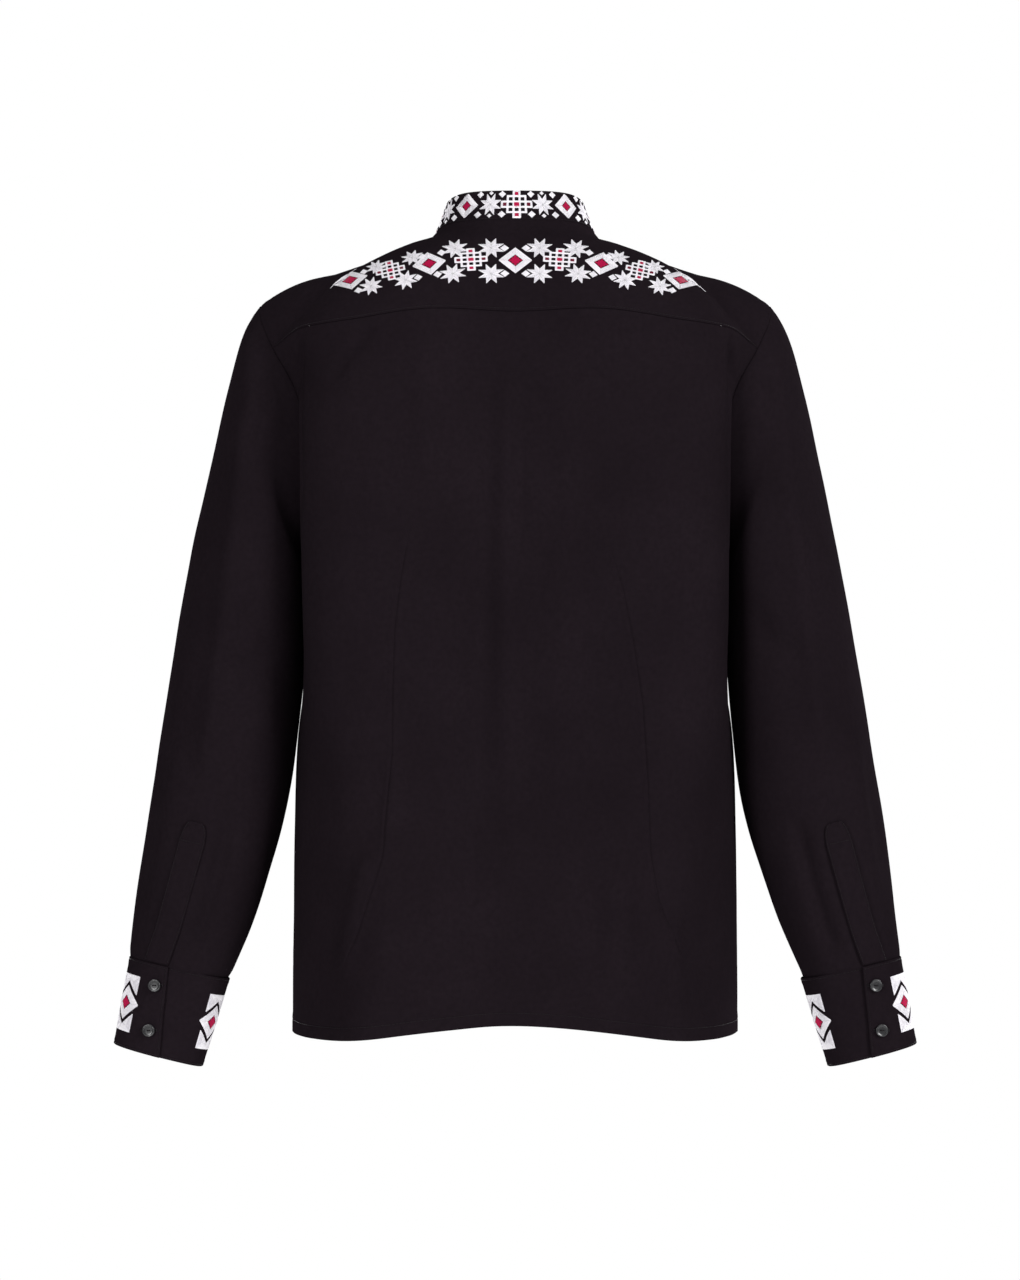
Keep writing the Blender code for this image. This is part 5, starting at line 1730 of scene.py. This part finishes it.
def seam_lines(depth):
    """Every line of topstitching: on the yoke, hems, front edges, collar, cuffs and strips."""
    yoke = yoke_panel(depth)
    across = np.abs(np.arange(len(yoke.points)) - len(yoke.points) // 2)
    seam_rows = across <= round(0.185 / YOKE_STEP)
    points, normals = edge_line(yoke, "right", LAPPED_SEAM.stitch_at)
    found = [running(points[seam_rows], normals[seam_rows])]
    for edge in ("low", "high"):
        found.append(running(*edge_line(yoke, edge, LAPPED_SEAM.stitch_at)))
    body = [back_panel(depth), front_panel(True, depth), front_panel(False, depth)]
    for panel in body:
        found.append(running(*edge_line(panel, "low", HEM.stitch_at)))
    found.append(running(*edge_line(body[2], "left", BAND_EDGE.stitch_at)))
    found.append(running(*edge_line(body[2], "left", 0.0260)))
    collar = collar_panel()
    for edge in ("low", "high", "left", "right"):
        found.append(running(*edge_line(collar, edge, BAND_EDGE.stitch_at), trim=(0.002, 0.002)))
    for left in (True, False):
        cuff = cuff_panel(left)
        for edge in ("low", "high", "left"):
            found.append(running(*edge_line(cuff, edge, BAND_EDGE.stitch_at), trim=(0.002, 0.002)))
        strip = placket_panel(left)
        for edge in ("left", "right"):
            found.append(running(*edge_line(strip, edge, 0.0018), trim=(0.003, 0.0)))
        row = int(np.argmin(np.abs(from_edge(strip.points, "low").mean(axis=1) - 0.020)))
        found.append(running(strip.points[row, 3:-3], strip.normals[row, 3:-3]))
    return found


# ---------------------------------------------------------------- settings


def colour(name, description, default):
    """A colour that the panel lets its user set."""
    return FloatVectorProperty(
        name=name, description=description, default=default,
        subtype="COLOR", size=3, min=0.0, max=1.0,
    )


class ShirtLooks(PropertyGroup):
    cloth: colour("Cloth", "Colour of the black cloth", (0.0082, 0.0058, 0.0075))
    white: colour("White thread", "Colour of the white embroidery thread", (0.80, 0.78, 0.81))
    crimson: colour(
        "Crimson thread", "Colour of the bright red embroidery thread", (0.40, 0.0015, 0.052)
    )
    wine: colour("Wine thread", "Colour of the dark red embroidery thread", (0.13, 0.003, 0.022))
    button: colour("Buttons", "Colour of the buttons", (0.006, 0.006, 0.007))


class ShirtSizes(PropertyGroup):
    crease_depth: FloatProperty(
        name="Crease depth", description="How deep the creases are, against those measured",
        default=2.2, min=0.0, max=3.0, subtype="FACTOR",
    )
    thread_radius: FloatProperty(
        name="Thread radius", description="Radius of the embroidery thread",
        default=0.00027, min=0.0001, max=0.001, precision=5, unit="LENGTH",
    )
    thread_spacing: FloatProperty(
        name="Stitch spacing", description="Distance between embroidery stitches side by side",
        default=0.00050, min=0.0003, max=0.002, precision=5, unit="LENGTH",
    )
    seam_thread_radius: FloatProperty(
        name="Sewing thread radius", description="Radius of the black sewing thread",
        default=0.00020, min=0.0001, max=0.001, precision=5, unit="LENGTH",
    )
    thread_rise: FloatProperty(
        name="Stitch rise", description="How far a stitch bows up, as a share of its length",
        default=0.07, min=0.0, max=0.5, subtype="FACTOR",
    )


def embroidered(name, groups, context):
    """One piece of embroidery from groups of stitches, in all its tones."""
    looks, sizes = context.scene.shirt_looks, context.scene.shirt_sizes
    laid = together(groups, sizes.thread_radius * 0.5)
    piece = thread_object(
        name, laid, thread_finishes(looks), sizes.thread_radius, sizes.thread_rise
    )
    return piece


SIDES = (("left", True), ("right", False))


def depth_and_cloth(context):
    """How deep the creases are, and the black cloth."""
    scene = context.scene
    return scene.shirt_sizes.crease_depth, cloth_finish(scene.shirt_looks)


# ---------------------------------------------------------------- operators


class SHIRT_OT_back(Operator):
    """Make the back with its two darts, hem and creases"""

    bl_idname = "shirt.back"
    bl_label = "Back"

    def execute(self, context):
        depth, cloth = depth_and_cloth(context)
        cloth_piece("back", back_panel(depth), CLOTH, cloth, "black_cloth")
        return {"FINISHED"}


class SHIRT_OT_fronts(Operator):
    """Make the two fronts, the right one lapped over the left"""

    bl_idname = "shirt.fronts"
    bl_label = "Fronts"

    def execute(self, context):
        depth, cloth = depth_and_cloth(context)
        for side, left in SIDES:
            cloth_piece(f"front_{side}", front_panel(left, depth), CLOTH, cloth, "black_cloth")
        return {"FINISHED"}


class SHIRT_OT_yoke(Operator):
    """Make the yoke over both shoulders"""

    bl_idname = "shirt.yoke"
    bl_label = "Yoke"

    def execute(self, context):
        depth, cloth = depth_and_cloth(context)
        cloth_piece("yoke", yoke_panel(depth), CLOTH, cloth, "black_cloth")
        return {"FINISHED"}


class SHIRT_OT_sleeves(Operator):
    """Make both sleeves and the strips over their slits"""

    bl_idname = "shirt.sleeves"
    bl_label = "Sleeves"

    def execute(self, context):
        depth, cloth = depth_and_cloth(context)
        for side, left in SIDES:
            cloth_piece(f"sleeve_{side}", sleeve_panel(left, depth), CLOTH, cloth, "black_cloth")
            strip = placket_panel(left)
            cloth_piece(f"sleeve_placket_{side}", strip, 0.0010, cloth, "black_cloth")
        return {"FINISHED"}


class SHIRT_OT_collar(Operator):
    """Make the stand collar and its embroidery"""

    bl_idname = "shirt.collar"
    bl_label = "Collar"

    def execute(self, context):
        band = band_finish(context.scene.shirt_looks)
        cloth_piece("collar", collar_panel(), COLLAR_WALL, band, "embroidered_band")
        spacing = context.scene.shirt_sizes.thread_spacing
        embroidered("collar_embroidery", collar_stitches(collar_panel(), spacing), context)
        return {"FINISHED"}


class SHIRT_OT_cuffs(Operator):
    """Make both cuffs and their embroidery"""

    bl_idname = "shirt.cuffs"
    bl_label = "Cuffs"

    def execute(self, context):
        band = band_finish(context.scene.shirt_looks)
        spacing = context.scene.shirt_sizes.thread_spacing
        for side, left in SIDES:
            panel = cuff_panel(left)
            cloth_piece(f"cuff_{side}", panel, CUFF_WALL, band, "embroidered_band")
            embroidered(f"cuff_embroidery_{side}", cuff_stitches(panel, spacing), context)
        return {"FINISHED"}


class SHIRT_OT_yoke_embroidery(Operator):
    """Lay the embroidery on the yoke's back"""

    bl_idname = "shirt.yoke_embroidery"
    bl_label = "Yoke embroidery"

    def execute(self, context):
        sizes = context.scene.shirt_sizes
        yoke = yoke_panel(sizes.crease_depth)
        groups = yoke_stitches(yoke, sizes.thread_spacing)
        half = len(groups) // 2
        for side, chosen in (("left", groups[:half]), ("right", groups[half:])):
            embroidered(f"yoke_embroidery_{side}", chosen, context)
        return {"FINISHED"}


class SHIRT_OT_topstitching(Operator):
    """Run the black topstitching along the seams and edges, and work the buttonholes"""

    bl_idname = "shirt.topstitching"
    bl_label = "Topstitching"

    def execute(self, context):
        looks, sizes = context.scene.shirt_looks, context.scene.shirt_sizes
        black = {BLACK: thread_finishes(looks)[BLACK]}
        lines = together(seam_lines(sizes.crease_depth), sizes.seam_thread_radius * 0.3)
        seams = thread_object("topstitching", lines, black, sizes.seam_thread_radius, 0.08)
        holes = []
        for node, place in button_places().items():
            along = (1, 0, 0) if node == "collar_button" else (0, 0, 1)
            if node.startswith("cuff"):
                along = place.col[2].to_3d().cross(Vector((0, 0, 1)))
            holes.append(buttonhole(place, along))
        worked = together(holes, 0.0)
        piece = thread_object("buttonholes", worked, black, sizes.seam_thread_radius, 0.05)
        return {"FINISHED"}


class SHIRT_OT_buttons(Operator):
    """Make every button and the threads that hold it"""

    bl_idname = "shirt.buttons"
    bl_label = "Buttons"

    def execute(self, context):
        looks, sizes = context.scene.shirt_looks, context.scene.shirt_sizes
        button = drilled_button()
        gloss = finish_named("button_resin", lambda: gloss_material("button_resin", looks.button))
        places = button_places()
        for node, place in places.items():
            mesh = button.copy()
            mesh.name = node + "_finished"
            mesh.transform(place)
            mesh.materials.clear()
            mesh.materials.append(gloss)
            piece = link(bpy.data.objects.new(node + "_finished", mesh))
            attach(piece, "root")
            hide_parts(node)
        held = together([sewn_threads(place) for place in places.values()], 0.0001)
        black = {BLACK: thread_finishes(looks)[BLACK]}
        threads = thread_object("button_threads", held, black, sizes.seam_thread_radius, 0.12)
        return {"FINISHED"}


# Soft lights, by where they stand round the shirt and how wide and strong they are.
Softbox = namedtuple("Softbox", "name x y z width height power")
SOFTBOXES = (
    Softbox("key", -3.0, 2.6, 0.9, 1.2, 1.8, 138.0),
    Softbox("fill", 2.2, 3.2, 0.3, 1.2, 1.6, 84.0),
    Softbox("top", 0.0, 1.2, 2.6, 2.4, 2.4, 30.0),
    Softbox("front_left", -2.6, -2.6, 0.8, 1.4, 1.8, 120.0),
    Softbox("front_right", 1.8, -3.2, 0.6, 1.4, 1.8, 96.0),
)
CAMERA_PLACE = (0.0046, 4.5, -0.3640)
CAMERA_LENS = 144.3
FLOOR_HEIGHT = -1.25


class SHIRT_OT_stage(Operator):
    """Set up the floor, the soft lights, the surroundings and the camera"""

    bl_idname = "shirt.stage"
    bl_label = "Stage"

    def execute(self, context):
        scene = context.scene
        shape = bmesh.new()
        bmesh.ops.create_circle(shape, cap_ends=True, segments=96, radius=2.2)
        mesh = bpy.data.meshes.new("floor")
        shape.to_mesh(mesh)
        shape.free()
        mesh.transform(Matrix.Translation((0, 0, FLOOR_HEIGHT)))
        pale, tree, shader = plain_material("pale_floor", (0.86, 0.86, 0.86), 0.8)
        place = tree.nodes.new("ShaderNodeTexCoord").outputs["Object"]
        grain = noise_of(tree, place, 60.0, 4.0)
        tint = mixed_tones(tree, grain, (0.84, 0.84, 0.84), (0.88, 0.88, 0.88))
        tree.links.new(tint, shader.inputs["Base Color"])
        mesh.materials.append(pale)
        link(bpy.data.objects.new("floor", mesh))
        aim = Vector((0, 0, -0.35))
        for softbox in SOFTBOXES:
            light = bpy.data.lights.new(softbox.name, "AREA")
            light.shape = "RECTANGLE"
            light.size, light.size_y = softbox.width, softbox.height
            light.energy = softbox.power
            lamp = link(bpy.data.objects.new(softbox.name, light))
            lamp.location = (softbox.x, softbox.y, softbox.z)
            lamp.rotation_euler = (aim - lamp.location).to_track_quat("-Z", "Y").to_euler()
        world = bpy.data.worlds.new("studio")
        world.use_nodes = True
        scene.world = world
        nodes, links = world.node_tree.nodes, world.node_tree.links
        background = nodes["Background"]
        background.inputs["Color"].default_value = (1.0, 1.0, 1.0, 1.0)
        path = nodes.new("ShaderNodeLightPath")
        strength = nodes.new("ShaderNodeMapRange")
        strength.inputs["To Min"].default_value = 0.24
        strength.inputs["To Max"].default_value = 1.0
        links.new(path.outputs["Is Camera Ray"], strength.inputs["Value"])
        links.new(strength.outputs["Result"], background.inputs["Strength"])
        camera = bpy.data.cameras.new("camera")
        camera.sensor_width = 36.0
        camera.lens = CAMERA_LENS
        camera.clip_start, camera.clip_end = 0.1, 40.0
        viewer = link(bpy.data.objects.new("camera", camera))
        viewer.location = CAMERA_PLACE
        viewer.rotation_euler = (math.radians(90), 0, math.radians(180))
        scene.camera = viewer
        scene.view_settings.view_transform = "Standard"
        return {"FINISHED"}


OPERATORS = (
    SHIRT_OT_back, SHIRT_OT_fronts, SHIRT_OT_yoke, SHIRT_OT_sleeves, SHIRT_OT_collar,
    SHIRT_OT_cuffs, SHIRT_OT_yoke_embroidery, SHIRT_OT_topstitching, SHIRT_OT_buttons,
    SHIRT_OT_stage,
)


class SHIRT_PT_pieces(Panel):
    bl_idname = "SHIRT_PT_pieces"
    bl_label = "Vyshyvanka shirt"
    bl_space_type = "VIEW_3D"
    bl_region_type = "UI"
    bl_category = "Shirt"

    def draw(self, context):
        for group in (context.scene.shirt_looks, context.scene.shirt_sizes):
            for name in group.__annotations__:
                self.layout.prop(group, name)
        for operator in OPERATORS:
            self.layout.operator(operator.bl_idname)


CLASSES = (ShirtLooks, ShirtSizes, *OPERATORS, SHIRT_PT_pieces)


def register():
    for kind in CLASSES:
        bpy.utils.register_class(kind)
    bpy.types.Scene.shirt_looks = PointerProperty(type=ShirtLooks)
    bpy.types.Scene.shirt_sizes = PointerProperty(type=ShirtSizes)


def unregister():
    del bpy.types.Scene.shirt_sizes
    del bpy.types.Scene.shirt_looks
    for kind in reversed(CLASSES):
        bpy.utils.unregister_class(kind)


def main():
    register()
    bpy.ops.shirt.back()
    bpy.ops.shirt.fronts()
    bpy.ops.shirt.yoke()
    bpy.ops.shirt.sleeves()
    bpy.ops.shirt.collar()
    bpy.ops.shirt.cuffs()
    bpy.ops.shirt.yoke_embroidery()
    bpy.ops.shirt.topstitching()
    bpy.ops.shirt.buttons()
    bpy.ops.shirt.stage()


if __name__ == "__main__":
    main()
